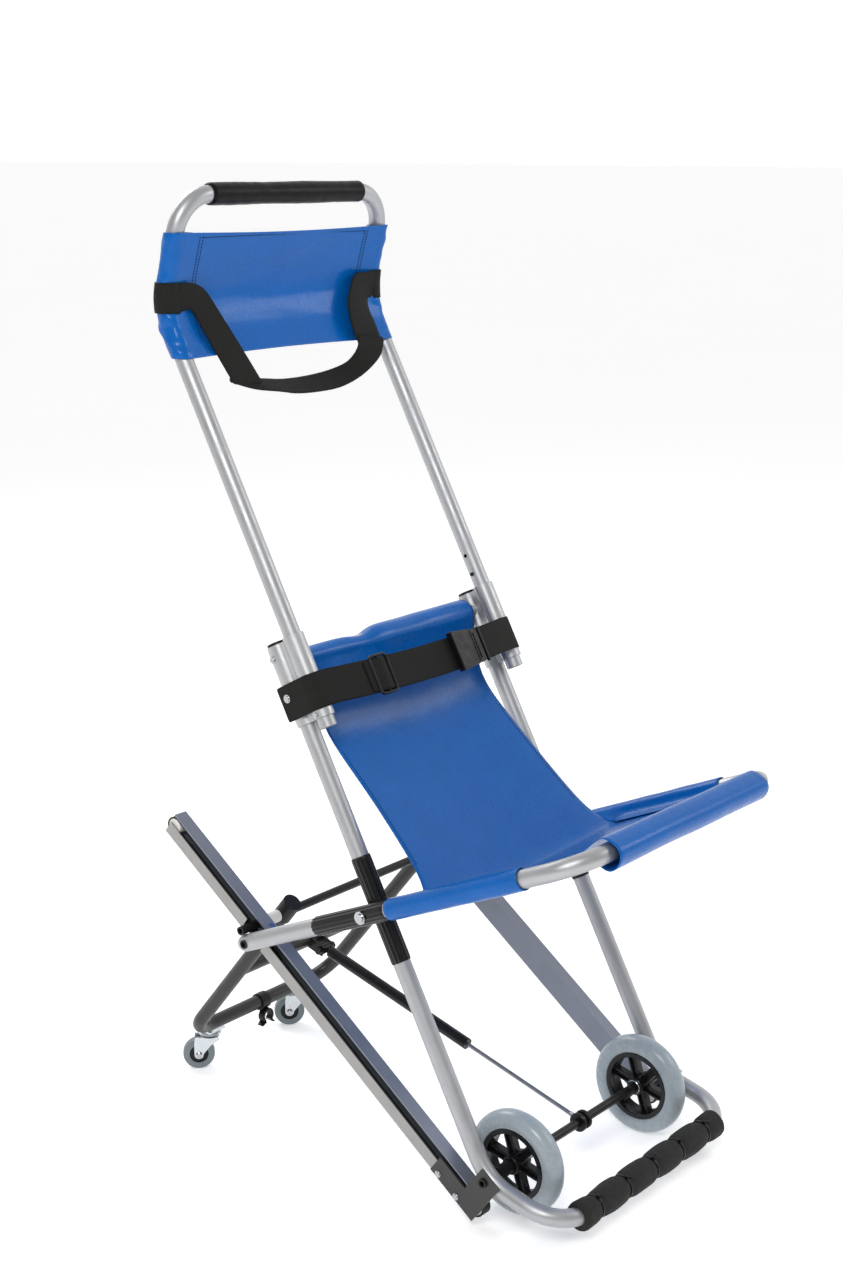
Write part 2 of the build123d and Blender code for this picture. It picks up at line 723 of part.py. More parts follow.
def tyre():
    """Solid rubber tyre with a rounded tread."""
    half = WHEEL_W / 2
    ring = cross_pipe(AXLE, WHEEL_X - half, WHEEL_X + half, WHEEL_R, RIM_R + FIT)
    edges = [e for e in ring.edges().filter_by(GeomType.CIRCLE) if e.radius > WHEEL_R - 1]
    return fillet(edges, 11.0)


def hub():
    """Black hub: rim, boss and double-ribbed spokes."""
    half = WHEEL_W / 2 - 2
    x0, x1 = WHEEL_X - half, WHEEL_X + half
    rim = cross_pipe(AXLE, x0, x1, RIM_R, RIM_R - 5.0)
    boss = cross_pipe(AXLE, WHEEL_X - WHEEL_W / 2, WHEEL_X + WHEEL_W / 2, 14.0, AXLE_R + FIT)
    wheel = rim + boss
    for k in range(SPOKES):
        for sign in (-1, 1):
            spoke = Box(22, RIM_R - 16, 4).moved(Location((WHEEL_X, (RIM_R + 9) / 2, sign * 6)))
            wheel += Pos(0, *AXLE) * (Rot(360 / SPOKES * k, 0, 0) * spoke)
    return wheel


def main_frame_nodes():
    save("main_tube", main_tube())
    save("foot_foam", foot_foam())
    save("foot_ties", *foot_ties())
    save("clamp_right", clamp())
    save("clamp_left", mirrored(clamp()))
    save("tube_plugs", *both_sides(tube_plug()))
    save("clamp_screws", *clamp_screws())
    save("back_crossbar", back_crossbar())
    save("pivot_sleeves", *both_sides(pivot_sleeve()))
    save("wheel_axle", wheel_axle())
    save("axle_bushes", *axle_bushes())
    save("chest_belt", chest_belt())
    save("belt_adjuster", belt_adjuster())
    save("buckle_body", buckle_body())
    save("buckle_prongs", buckle_prongs())
    save("sling_back", sling_back())


def handle_nodes():
    save("handle_tube", handle_tube())
    save("handle_grip", handle_grip())
    save("headrest", headrest())
    save("head_strap", head_strap())
    save("snap_button_right", snap_button())
    save("snap_button_left", mirrored(snap_button()))


def seat_nodes():
    save("seat_frame", seat_frame())
    save("seat_end_plugs", *both_sides(seat_end_plug()))
    save("seat_cross_pins", *seat_cross_pins())
    save("seat_pivot_sleeves", *both_sides(seat_pivot_sleeve()))
    save("seat_pivot_bolts", *both_sides(seat_pivot_bolt()), *both_sides(pivot_washer()))
    save("sling_seat", sling_seat())


def track_nodes():
    save("track_right", track_rail())
    save("track_left", mirrored(track_rail()))
    save("strip_right", *track_strip())
    save("strip_left", *[mirrored(piece) for piece in track_strip()])
    save("belt_right", belt_loop())
    save("belt_left", mirrored(belt_loop()))
    for label, t in zip(("low", "top"), PULLEY_T):
        save(f"pulley_{label}_right", pulley(t))
        save(f"pulley_{label}_left", mirrored(pulley(t)))
    save("pulley_pins", *pulley_pins())
    save("bracket_right", bracket())
    save("bracket_left", mirrored(bracket()))
    save("track_screws", *bracket_screws())
    save("pivot_rod", pivot_rod())
    save("rod_spacers", *rod_spacers())


def castor_nodes():
    save("castor_frame", castor_frame())
    save("leg_caps", *both_sides(leg_cap()))
    save("upper_cross_tube", upper_cross_tube())
    save("strut_bracket", *strut_bracket())
    save("stowage_clip", stowage_clip())
    save("castor_plates", castor_plate(1), castor_plate(-1))
    for label, side in (("right", 1), ("left", -1)):
        save(f"castor_fork_{label}", castor_fork(side))
        save(f"castor_wheel_{label}", castor_wheel(side))
    save("strut_rod", strut_rod())
    save("strut_cylinder", strut_cylinder())


def wheel_nodes():
    save("tyre_right", tyre())
    save("tyre_left", mirrored(tyre()))
    save("hub_right", hub())
    save("hub_left", mirrored(hub()))


os.makedirs("parts", exist_ok=True)
main_frame_nodes()
handle_nodes()
seat_nodes()
track_nodes()
castor_nodes()
wheel_nodes()
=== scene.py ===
import math

import bpy
from mathutils import Matrix, Vector, noise


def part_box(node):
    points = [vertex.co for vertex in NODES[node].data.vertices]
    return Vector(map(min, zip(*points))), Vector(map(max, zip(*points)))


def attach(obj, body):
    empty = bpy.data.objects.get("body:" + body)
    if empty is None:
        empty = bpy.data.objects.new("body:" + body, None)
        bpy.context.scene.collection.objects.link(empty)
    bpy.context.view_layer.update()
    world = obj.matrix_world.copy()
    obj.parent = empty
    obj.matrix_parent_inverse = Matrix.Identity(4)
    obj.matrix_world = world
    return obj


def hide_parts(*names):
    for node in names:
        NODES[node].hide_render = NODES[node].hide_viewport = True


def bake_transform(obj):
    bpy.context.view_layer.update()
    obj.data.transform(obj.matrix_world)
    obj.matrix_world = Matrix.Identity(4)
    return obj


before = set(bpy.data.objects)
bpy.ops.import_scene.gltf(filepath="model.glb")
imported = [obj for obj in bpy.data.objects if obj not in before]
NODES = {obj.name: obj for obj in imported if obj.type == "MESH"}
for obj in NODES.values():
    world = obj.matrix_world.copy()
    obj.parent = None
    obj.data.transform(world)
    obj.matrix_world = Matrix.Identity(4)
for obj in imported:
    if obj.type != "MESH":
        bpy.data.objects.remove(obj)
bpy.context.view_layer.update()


def middle(node):
    low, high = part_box(node)
    return (low + high) / 2


# ---- frame of the chair, in metres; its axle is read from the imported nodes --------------

AXLE_Y = middle("wheel_axle").y
AXLE_Z = middle("wheel_axle").z
MAIN_X = 0.213
SEAT_X = 0.242
TUBE_R = 0.0125


def polar(degrees):
    return math.cos(math.radians(degrees)), math.sin(math.radians(degrees))


MAIN_ANGLE = 61.2
SEAT_ANGLE = 156.2
MAIN_DIR = polar(MAIN_ANGLE)
MAIN_NORMAL = polar(MAIN_ANGLE + 90)
SEAT_DIR = polar(SEAT_ANGLE)
SEAT_NORMAL = polar(SEAT_ANGLE - 90)
MAIN_ORIGIN = (0.0051, 0.071)
SEAT_PIVOT = (0.1926, 0.412)


def on_frame(origin, along, across, s, n, x):
    """Point s along a tube's centre line and n off it; the origin's y counts from the axle."""
    y = origin[0] + s * along[0] + n * across[0]
    z = origin[1] + s * along[1] + n * across[1]
    return Vector((x, AXLE_Y + y, z))


def main_at(s, n=0.0, x=0.0):
    return on_frame(MAIN_ORIGIN, MAIN_DIR, MAIN_NORMAL, s, n, x)


def seat_at(r, n=0.0, x=0.0):
    return on_frame(SEAT_PIVOT, SEAT_DIR, SEAT_NORMAL, r, n, x)


def at(x, y, z):
    """A point given with y measured from the wheel axle."""
    return Vector((x, AXLE_Y + y, z))


def ring_ray(degrees):
    """Unit vector in the plane across X."""
    y, z = polar(degrees)
    return Vector((0, y, z))


def belongs(piece, body, slot, *nodes):
    """The body a piece rides on, the slot of its finish, which is not used, and the CAD nodes it stands
    for.
    """
    if nodes:
        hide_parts(*nodes)
    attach(piece, body)


# ---- materials -------------------------------------------------------------------------

def srgb(r, g, b):
    out = []
    for value in (r, g, b):
        c = value / 255
        out.append(c / 12.92 if c <= 0.04045 else ((c + 0.055) / 1.055) ** 2.4)
    return (*out, 1.0)


def scaled(color, k):
    return (min(color[0] * k, 1), min(color[1] * k, 1), min(color[2] * k, 1), 1.0)


def new_material(name):
    material = bpy.data.materials.new(name)
    material.use_nodes = True
    tree = material.node_tree
    shader = tree.nodes["Principled BSDF"]
    where = tree.nodes.new("ShaderNodeTexCoord")
    return material, tree, shader, where


def noise_node(tree, vector, scale, detail=3.0, roughness=0.55):
    node = tree.nodes.new("ShaderNodeTexNoise")
    node.inputs["Scale"].default_value = scale
    node.inputs["Detail"].default_value = detail
    node.inputs["Roughness"].default_value = roughness
    tree.links.new(vector, node.inputs["Vector"])
    return node.outputs["Fac"]


def ramp(tree, value, low, high, out_low, out_high):
    node = tree.nodes.new("ShaderNodeMapRange")
    node.inputs["From Min"].default_value = low
    node.inputs["From Max"].default_value = high
    node.inputs["To Min"].default_value = out_low
    node.inputs["To Max"].default_value = out_high
    tree.links.new(value, node.inputs["Value"])
    return node.outputs["Result"]


def mix_color(tree, factor, a, b):
    node = tree.nodes.new("ShaderNodeMix")
    node.data_type = "RGBA"
    tree.links.new(factor, node.inputs["Factor"])
    for socket, value in ((node.inputs["A"], a), (node.inputs["B"], b)):
        if isinstance(value, tuple):
            socket.default_value = value
        else:
            tree.links.new(value, socket)
    return node.outputs["Result"]


def bump(tree, height, shader, strength, distance, previous=None):
    node = tree.nodes.new("ShaderNodeBump")
    node.inputs["Strength"].default_value = strength
    node.inputs["Distance"].default_value = distance
    tree.links.new(height, node.inputs["Height"])
    if previous is not None:
        tree.links.new(previous, node.inputs["Normal"])
    tree.links.new(node.outputs["Normal"], shader.inputs["Normal"])
    return node.outputs["Normal"]


GRAIN_DEPTH = 0.0002
DARK_TONE = 0.06
PALE_SPECULAR, DARK_SPECULAR, GRIP_SPECULAR = 0.5, 0.3, 0.16


def worn(name, color, metallic, rough, fine, coarse, vary, strength, stretch=None, spread=0.08):
    """General solid material: cloudy tone, uneven roughness and a fine surface grain."""
    material, tree, shader, where = new_material(name)
    vector = where.outputs["Object"]
    grain_vector = vector
    if stretch:
        mapping = tree.nodes.new("ShaderNodeMapping")
        mapping.inputs["Scale"].default_value = stretch
        tree.links.new(vector, mapping.inputs["Vector"])
        grain_vector = mapping.outputs["Vector"]
    cloud = noise_node(tree, vector, coarse)
    grain = noise_node(tree, grain_vector, fine, 2.0)
    tone = mix_color(tree, cloud, scaled(color, 1 - vary), scaled(color, 1 + vary))
    tree.links.new(tone, shader.inputs["Base Color"])
    smudge = noise_node(tree, vector, coarse * 4, 4.0)
    uneven = ramp(tree, smudge, 0.3, 0.7, rough - spread, rough + spread)
    tree.links.new(uneven, shader.inputs["Roughness"])
    shader.inputs["Metallic"].default_value = metallic
    specular = PALE_SPECULAR if sum(color[:3]) > DARK_TONE else DARK_SPECULAR
    shader.inputs["Specular IOR Level"].default_value = specular
    bump(tree, grain, shader, strength, GRAIN_DEPTH)
    return material


WAVE_BAND = 0.314


def wave(tree, vector, direction, period):
    """Bands at a period in metres; at scale 1 the texture's bands are WAVE_BAND apart."""
    node = tree.nodes.new("ShaderNodeTexWave")
    node.wave_type = "BANDS"
    node.bands_direction = direction
    node.inputs["Scale"].default_value = WAVE_BAND / period
    tree.links.new(vector, node.inputs["Vector"])
    return node.outputs["Fac"]


def math_node(tree, operation, a, b):
    node = tree.nodes.new("ShaderNodeMath")
    node.operation = operation
    for socket, value in ((node.inputs[0], a), (node.inputs[1], b)):
        if isinstance(value, (int, float)):
            socket.default_value = value
        else:
            tree.links.new(value, socket)
    return node.outputs[0]


def turned_uv(tree, where, degrees):
    turned = tree.nodes.new("ShaderNodeMapping")
    turned.inputs["Rotation"].default_value = (0, 0, math.radians(degrees))
    tree.links.new(where.outputs["UV"], turned.inputs["Vector"])
    return turned.outputs["Vector"]


WEAVE = 0.003
TWILL, RIBS = 0.0034, 0.0026


def coated_fabric(name, color):
    """Woven fabric under a glossy coating: fine woven texture, soft creases and uneven gloss, with painted
    shade in the crease hollows and painted highlights on the crease ridges and raised thread crossings.
    """
    material, tree, shader, where = new_material(name)
    diagonal = turned_uv(tree, where, 45)
    weave_x = wave(tree, diagonal, "X", WEAVE)
    weave_y = wave(tree, diagonal, "Y", WEAVE)
    weave_height_and_highlight = math_node(tree, "MULTIPLY", weave_x, weave_y)
    crease = noise_node(tree, where.outputs["Object"], 22.0, 4.0, 0.6)
    fine = noise_node(tree, where.outputs["Object"], 90.0, 3.0, 0.6)
    # The crease height also sets the tone: painted shade in the crease hollows, painted highlight on the
    # crease ridges.
    tone = mix_color(tree, crease, scaled(color, 0.86), scaled(color, 1.14))
    # Lighter colour on the raised thread crossings is a painted highlight.
    tone = mix_color(tree, ramp(tree, weave_height_and_highlight, 0.0, 1.0, 0.0, 0.4), tone, scaled(color, 1.9))
    tree.links.new(tone, shader.inputs["Base Color"])
    tree.links.new(ramp(tree, fine, 0.35, 0.7, 0.24, 0.38), shader.inputs["Roughness"])
    shader.inputs["Specular IOR Level"].default_value = 0.12
    shader.inputs["Coat Weight"].default_value = 0.22
    shader.inputs["Coat Roughness"].default_value = 0.16
    low = bump(tree, crease, shader, 0.35, 0.004)
    mid = bump(tree, fine, shader, 0.16, 0.0015, low)
    bump(tree, weave_height_and_highlight, shader, 0.35, 0.00025, mid)
    return material


def webbing(name, color):
    """Woven strap: diagonal twill along its length, with painted shade in the gaps between the ribs and
    painted highlight on the rib tops.
    """
    material, tree, shader, where = new_material(name)
    twill = wave(tree, turned_uv(tree, where, 38), "X", TWILL)
    cross = wave(tree, where.outputs["UV"], "Y", RIBS)
    both = math_node(tree, "MULTIPLY", twill, cross)
    cloud = noise_node(tree, where.outputs["Object"], 60.0)
    # The rib height also sets the tone: painted shade in the gaps, painted highlight on the rib tops.
    tone = mix_color(tree, both, scaled(color, 0.45), scaled(color, 2.2))
    tone = mix_color(tree, ramp(tree, cloud, 0.3, 0.7, 0.0, 0.35), tone, scaled(color, 1.1))
    tree.links.new(tone, shader.inputs["Base Color"])
    shader.inputs["Roughness"].default_value = 0.72
    shader.inputs["Specular IOR Level"].default_value = 0.2
    bump(tree, both, shader, 0.6, 0.0005)
    return material


SILVER = worn("silver_powder_tube", srgb(176, 177, 179), 0.8, 0.45, 1600.0, 9.0, 0.05, 0.1)
SILVER_CAST = worn("silver_clamp", srgb(180, 181, 182), 0.75, 0.44, 1200.0, 12.0, 0.06, 0.14)
BLACK_TUBE = worn("black_coated_tube", srgb(24, 23, 22), 0.1, 0.34, 900.0, 16.0, 0.15, 0.12)
GREY_TUBE = worn("dark_coated_tube", srgb(42, 40, 38), 0.15, 0.36, 900.0, 16.0, 0.12, 0.12)
BLACK_PLASTIC = worn("black_plastic", srgb(11, 11, 11), 0.0, 0.42, 1300.0, 20.0, 0.15, 0.25)
SLEEVE = worn("black_ribbed_sleeve", srgb(15, 15, 16), 0.0, 0.24, 300.0, 20.0, 0.15, 0.03)
FOAM = worn("black_foam", srgb(36, 36, 34), 0.0, 0.8, 700.0, 40.0, 0.18, 0.9)
GRIP_FOAM = worn("black_grip_rubber", srgb(5, 5, 5), 0.0, 0.42, 700.0, 26.0, 0.18, 0.4)
TYRE = worn("grey_rubber_tyre", srgb(150, 160, 166), 0.0, 0.27, 500.0, 18.0, 0.06, 0.1)
HUB = worn("black_hub", srgb(18, 18, 20), 0.0, 0.3, 900.0, 24.0, 0.12, 0.12)
TRACK_BLUE = worn("grey_blue_track", srgb(126, 131, 143), 0.5, 0.4, 1400.0, 10.0, 0.06, 0.12, (1, 0.1, 0.1))
STRIP = worn("light_track_strip", srgb(158, 157, 155), 0.75, 0.42, 1400.0, 12.0, 0.06, 0.14)
BELT_RUBBER = worn("black_track_belt", srgb(28, 28, 27), 0.0, 0.6, 600.0, 30.0, 0.2, 0.5)
CHROME = worn("bright_screw", srgb(178, 179, 181), 1.0, 0.2, 900.0, 30.0, 0.05, 0.05, None, 0.04)
STEEL_ROD = worn("steel_rod", srgb(140, 141, 146), 0.9, 0.32, 300.0, 20.0, 0.04, 0.02)
ZINC = worn("zinc_plate", srgb(205, 210, 212), 0.9, 0.28, 500.0, 30.0, 0.1, 0.2)
NYLON = worn("white_nylon", srgb(222, 220, 214), 0.0, 0.45, 900.0, 30.0, 0.06, 0.15)
CASTOR = worn("grey_castor_tread", srgb(112, 122, 126), 0.0, 0.5, 600.0, 30.0, 0.08, 0.2)
BRACKET = worn("dark_bracket", srgb(66, 65, 64), 0.5, 0.42, 1200.0, 22.0, 0.14, 0.2)
STRUT = worn("black_strut", srgb(30, 30, 33), 0.3, 0.22, 900.0, 20.0, 0.1, 0.08)
FABRIC = coated_fabric("blue_coated_fabric", srgb(2, 87, 163))
WEBBING = webbing("black_webbing", srgb(26, 26, 24))
THREAD = worn("dark_blue_thread", srgb(6, 16, 46), 0.0, 0.7, 2000.0, 60.0, 0.2, 0.5)
GRIP_FOAM.node_tree.nodes["Principled BSDF"].inputs["Specular IOR Level"].default_value = GRIP_SPECULAR

CAD_FINISHES = (
    (SILVER, "main_tube handle_tube seat_frame back_crossbar seat_end_plugs"),
    (SILVER_CAST, "clamp_left clamp_right"),
    (BLACK_TUBE, "wheel_axle seat_cross_pins pivot_rod strut_bracket"),
    (GREY_TUBE, "castor_frame upper_cross_tube"),
    (BLACK_PLASTIC, "tube_plugs axle_bushes snap_button_left snap_button_right leg_caps stowage_clip"),
    (BLACK_PLASTIC, "foot_ties belt_adjuster buckle_body buckle_prongs"),
    (SLEEVE, "pivot_sleeves seat_pivot_sleeves"),
    (FOAM, "foot_foam"),
    (GRIP_FOAM, "handle_grip"),
    (TYRE, "tyre_left tyre_right"),
    (HUB, "hub_left hub_right"),
    (TRACK_BLUE, "track_left track_right"),
    (STRIP, "strip_left strip_right"),
    (BELT_RUBBER, "belt_left belt_right"),
    (CHROME, "clamp_screws seat_pivot_bolts track_screws"),
    (ZINC, "pulley_pins castor_plates castor_fork_left castor_fork_right strut_rod"),
    (NYLON, "pulley_low_left pulley_low_right pulley_top_left pulley_top_right rod_spacers"),
    (CASTOR, "castor_wheel_left castor_wheel_right"),
    (BRACKET, "bracket_left bracket_right"),
    (STRUT, "strut_cylinder"),
    (FABRIC, "headrest sling_back sling_seat"),
    (WEBBING, "head_strap chest_belt"),
)


def dress_cad():
    finish = {name: material for material, names in CAD_FINISHES for name in names.split()}
    for name, thing in NODES.items():
        thing.data.materials.clear()
        thing.data.materials.append(finish[name])
        thing.data.polygons.foreach_set("use_smooth", [True] * len(thing.data.polygons))
        thing.data.set_sharp_from_angle(angle=math.radians(32))


# ---- stage, light and camera -----------------------------------------------------------

DIM_SIDE, BRIGHT_SIDE = 0.42, 1.05
BRIGHT_WAY = (0.775, 0.632, 0.0)
KEY_POWER, SIDE_POWER, BACK_POWER = 84, 27, 50
FLOOR_SIZE = 400
FLOOR_GLOW = 0.34
WHITE = (1, 1, 1, 1)
CAMERA_LENS = 55.74
CAMERA_PLACE = at(-2.1432, -1.4497, 1.41305)
CAMERA_AZIMUTH, CAMERA_PITCH, CAMERA_ROLL = -50.82, 13.825, 0.254


def make_floor():
    bpy.ops.mesh.primitive_plane_add(size=FLOOR_SIZE, location=(0, 0, 0))
    floor = bpy.context.object
    floor.name = "floor"
    material, tree, shader, where = new_material("pale_floor")
    cloud = noise_node(tree, where.outputs["Object"], 0.6)
    tone = mix_color(tree, cloud, srgb(246, 246, 247), srgb(250, 250, 250))
    tree.links.new(tone, shader.inputs["Base Color"])
    shader.inputs["Roughness"].default_value = 0.7
    shader.inputs["Specular IOR Level"].default_value = 0.1
    shader.inputs["Emission Color"].default_value = WHITE
    shader.inputs["Emission Strength"].default_value = FLOOR_GLOW
    floor.data.materials.append(material)


def area_light(name, place, target, size, power):
    data = bpy.data.lights.new(name, "AREA")
    data.shape = "DISK"
    data.size = size
    data.energy = power
    light = bpy.data.objects.new(name, data)
    light.location = place
    aim = Vector(target) - Vector(place)
    light.rotation_euler = aim.to_track_quat("-Z", "Y").to_euler()
    bpy.context.scene.collection.objects.link(light)


def make_world():
    """Studio surround: white behind the chair, dimmer on the side it is seen from."""
    world = bpy.data.worlds.new("studio")
    world.use_nodes = True
    tree = world.node_tree
    where = tree.nodes.new("ShaderNodeTexCoord")
    dot = tree.nodes.new("ShaderNodeVectorMath")
    dot.operation = "DOT_PRODUCT"
    dot.inputs[1].default_value = BRIGHT_WAY
    tree.links.new(where.outputs["Generated"], dot.inputs[0])
    level = ramp(tree, dot.outputs["Value"], -0.2, 0.75, DIM_SIDE, BRIGHT_SIDE)
    tree.links.new(level, tree.nodes["Background"].inputs["Strength"])
    tree.nodes["Background"].inputs["Color"].default_value = WHITE
    bpy.context.scene.world = world


def make_light():
    make_world()
    area_light("key", (-3.0, -1.6, 3.4), (0, 0, 0.5), 1.8, KEY_POWER)
    area_light("side", (2.6, -2.4, 2.6), (0, 0, 0.5), 1.6, SIDE_POWER)
    area_light("back", (0.6, 3.0, 3.2), (0, 0, 0.5), 2.0, BACK_POWER)
    bpy.context.scene.view_settings.view_transform = "Standard"


def make_camera():
    data = bpy.data.cameras.new("camera")
    data.sensor_width = 36.0
    data.lens = CAMERA_LENS
    camera = bpy.data.objects.new("camera", data)
    side, ahead = -math.sin(math.radians(CAMERA_AZIMUTH)), math.cos(math.radians(CAMERA_AZIMUTH))
    level, down = polar(CAMERA_PITCH)
    forward = Vector((side * level, ahead * level, -down))
    roll = Matrix.Rotation(math.radians(CAMERA_ROLL), 3, "Z")
    turn = forward.to_track_quat("-Z", "Y").to_matrix() @ roll
    camera.matrix_world = Matrix.Translation(CAMERA_PLACE) @ turn.to_4x4()
    bpy.context.scene.collection.objects.link(camera)
    bpy.context.scene.camera = camera


# ---- mesh helpers ----------------------------------------------------------------------

X = Vector((1, 0, 0))
UP = Vector((0, 0, 1))
UV_PER_RADIAN = 0.015


def mesh_piece(name, verts, faces, material, uvs=None, sharp=40):
    mesh = bpy.data.meshes.new(name)
    mesh.from_pydata([tuple(v) for v in verts], [], faces)
    if uvs:
        layer = mesh.uv_layers.new(name="UVMap")
        for loop in mesh.loops:
            layer.data[loop.index].uv = uvs[loop.vertex_index]
    mesh.materials.append(material)
    mesh.polygons.foreach_set("use_smooth", [True] * len(mesh.polygons))
    mesh.validate()
    mesh.set_sharp_from_angle(angle=math.radians(sharp))
    thing = bpy.data.objects.new(name, mesh)
    bpy.context.scene.collection.objects.link(thing)
    return thing


def apply_modifiers(thing):
    """Replaces the object's mesh with what its modifiers make of it."""
    bpy.context.view_layer.update()
    shown = thing.evaluated_get(bpy.context.evaluated_depsgraph_get())
    mesh = bpy.data.meshes.new_from_object(shown)
    thing.modifiers.clear()
    thing.data = mesh
    return thing


def arc_lengths(points):
    out = [0.0]
    for a, b in zip(points, points[1:]):
        out.append(out[-1] + (b - a).length)
    return out


def sheet_piece(name, rows, material, thickness):
    """Sheet through a grid of points, thickened about its middle and smoothed."""
    count = len(rows[0])
    mid = rows[len(rows) // 2]
    across = arc_lengths(mid)
    along = arc_lengths([row[count // 2] for row in rows])
    verts = [p for row in rows for p in row]
    uvs = [(across[j], along[i]) for i in range(len(rows)) for j in range(count)]
    faces = []
    for i in range(len(rows) - 1):
        for j in range(count - 1):
            a = i * count + j
            faces.append((a, a + 1, a + count + 1, a + count))
    thing = mesh_piece(name, verts, faces, material, uvs, sharp=60)
    smooth = thing.modifiers.new("smooth", "SUBSURF")
    smooth.levels = 1
    smooth.render_levels = 1
    solid = thing.modifiers.new("thickness", "SOLIDIFY")
    solid.thickness = thickness
    solid.offset = 0.0
    return apply_modifiers(thing)


def smooth_line(points, count):
    """Evenly spaced points on a Catmull-Rom curve through the given ones."""
    steps = 24
    padded = [points[0] * 2 - points[1]] + list(points) + [points[-1] * 2 - points[-2]]
    fine = []
    for i in range(1, len(padded) - 2):
        p0, p1, p2, p3 = padded[i - 1:i + 3]
        for k in range(steps):
            t = k / steps
            a = p1 * 2
            b = (p2 - p0) * t
            c = (p0 * 2 - p1 * 5 + p2 * 4 - p3) * t * t
            d = (p1 * 3 - p0 - p2 * 3 + p3) * t * t * t
            fine.append((a + b + c + d) / 2)
    fine.append(points[-1])
    lengths = arc_lengths(fine)
    out = []
    j = 0
    for k in range(count):
        target = lengths[-1] * k / (count - 1)
        while j < len(lengths) - 2 and lengths[j + 1] < target:
            j += 1
        span = lengths[j + 1] - lengths[j] or 1.0
        out.append(fine[j].lerp(fine[j + 1], min((target - lengths[j]) / span, 1.0)))
    return out


def round_tube(name, line, radius_of, material, sides, caps=True, up=UP):
    """Tube round a line; radius_of(share along, angle) gives its radius."""
    verts, uvs = [], []
    lengths = arc_lengths(line)
    total = lengths[-1]
    for i, p in enumerate(line):
        before = line[max(i - 1, 0)]
        after = line[min(i + 1, len(line) - 1)]
        along = (after - before).normalized()
        side = along.cross(up).normalized()
        top = side.cross(along).normalized()
        for k in range(sides):
            angle = 2 * math.pi * k / sides
            r = radius_of(lengths[i] / total, angle)
            verts.append(p + side * math.cos(angle) * r + top * math.sin(angle) * r)
            uvs.append((angle * UV_PER_RADIAN, lengths[i]))
    faces = []
    for i in range(len(line) - 1):
        for k in range(sides):
            a = i * sides + k
            b = i * sides + (k + 1) % sides
            faces.append((a, b, b + sides, a + sides))
    if caps:
        faces.append(tuple(range(sides))[::-1])
        last = (len(line) - 1) * sides
        faces.append(tuple(range(last, last + sides)))
    return mesh_piece(name, verts, faces, material, uvs)


def lathe(name, centre, axis, profile, material, sides):
    """Closed ring profile of (radius, offset along axis) turned about the axis."""
    axis = Vector(axis).normalized()
    side = axis.orthogonal().normalized()
    top = axis.cross(side).normalized()
    verts = []
    for k in range(sides):
        angle = 2 * math.pi * k / sides
        ray = side * math.cos(angle) + top * math.sin(angle)
        for r, h in profile:
            verts.append(centre + ray * r + axis * h)
    n = len(profile)
    faces = []
    for k in range(sides):
        for j in range(n):
            a = k * n + j
            b = k * n + (j + 1) % n
            c = ((k + 1) % sides) * n + (j + 1) % n
            d = ((k + 1) % sides) * n + j
            faces.append((a, b, c, d))
    return mesh_piece(name, verts, faces, material, sharp=35)


def box_piece(name, centre, size, axes, material, bevel):
    """Block with rounded edges on its own axes."""
    halves = [axis * extent / 2 for axis, extent in zip(axes, size)]
    verts = []
    for sx in (-1, 1):
        for sy in (-1, 1):
            for sz in (-1, 1):
                verts.append(centre + halves[0] * sx + halves[1] * sy + halves[2] * sz)
    faces = [(0, 1, 3, 2), (4, 6, 7, 5), (0, 4, 5, 1), (2, 3, 7, 6), (0, 2, 6, 4), (1, 5, 7, 3)]
    thing = mesh_piece(name, verts, faces, material)
    edge = thing.modifiers.new("edges", "BEVEL")
    edge.width = bevel
    edge.segments = 3
    return apply_modifiers(thing)


def plate_piece(name, outline, origin, axes, depth, material, bevel):
    """Flat plate with any outline in the plane of axes[0] and axes[1], raised along axes[2]."""
    n = len(outline)
    low = [origin + axes[0] * a + axes[1] * b for a, b in outline]
    high = [p + axes[2] * depth for p in low]
    faces = [tuple(range(n))[::-1], tuple(range(n, 2 * n))]
    faces += [(k, (k + 1) % n, n + (k + 1) % n, n + k) for k in range(n)]
    thing = mesh_piece(name, low + high, faces, material)
    edge = thing.modifiers.new("edges", "BEVEL")
    edge.width = bevel
    edge.segments = 2
    edge.limit_method = "ANGLE"
    return apply_modifiers(thing)


def joined(name, pieces):
    """One object made of several."""
    bpy.ops.object.select_all(action="DESELECT")
    for piece in pieces:
        piece.select_set(True)
    bpy.context.view_layer.objects.active = pieces[0]
    bpy.ops.object.join()
    thing = bpy.context.view_layer.objects.active
    thing.name = name
    return thing


# ---- wheels ----------------------------------------------------------------------------

WHEEL_X = 0.153
SPOKES = 6
TYRE_INNER = 0.0512
TYRE_PROFILE = [
    (TYRE_INNER, -0.0125), (0.0535, -0.0148), (0.0575, -0.0159), (0.0625, -0.0158), (0.0672, -0.0144),
    (0.0708, -0.0118), (0.0732, -0.0082), (0.0745, -0.0042), (0.0749, 0.0),
]
RIM = [
    (0.0448, -0.0138), (0.0508, -0.0138), (0.051, -0.0125), (0.051, 0.0125), (0.0508, 0.0138),
    (0.0448, 0.0138), (0.044, 0.0128), (0.044, 0.004), (0.045, 0.0), (0.044, -0.004),
    (0.044, -0.0128),
]
BOSS = [
    (0.0068, -0.016), (0.012, -0.016), (0.0132, -0.015), (0.0145, -0.01),
    (0.0145, 0.01), (0.0132, 0.015), (0.012, 0.016), (0.0068, 0.016),
]
WASHER = [
    (0.0068, 0.0163), (0.0098, 0.0163), (0.0105, 0.017), (0.0105, 0.018), (0.0098, 0.0187),
    (0.0068, 0.0187),
]


def tyre_profile():
    outer = TYRE_PROFILE + [(r, -h) for r, h in reversed(TYRE_PROFILE[:-1])]
    return outer + [(TYRE_INNER, 0.008), (TYRE_INNER, -0.008)]


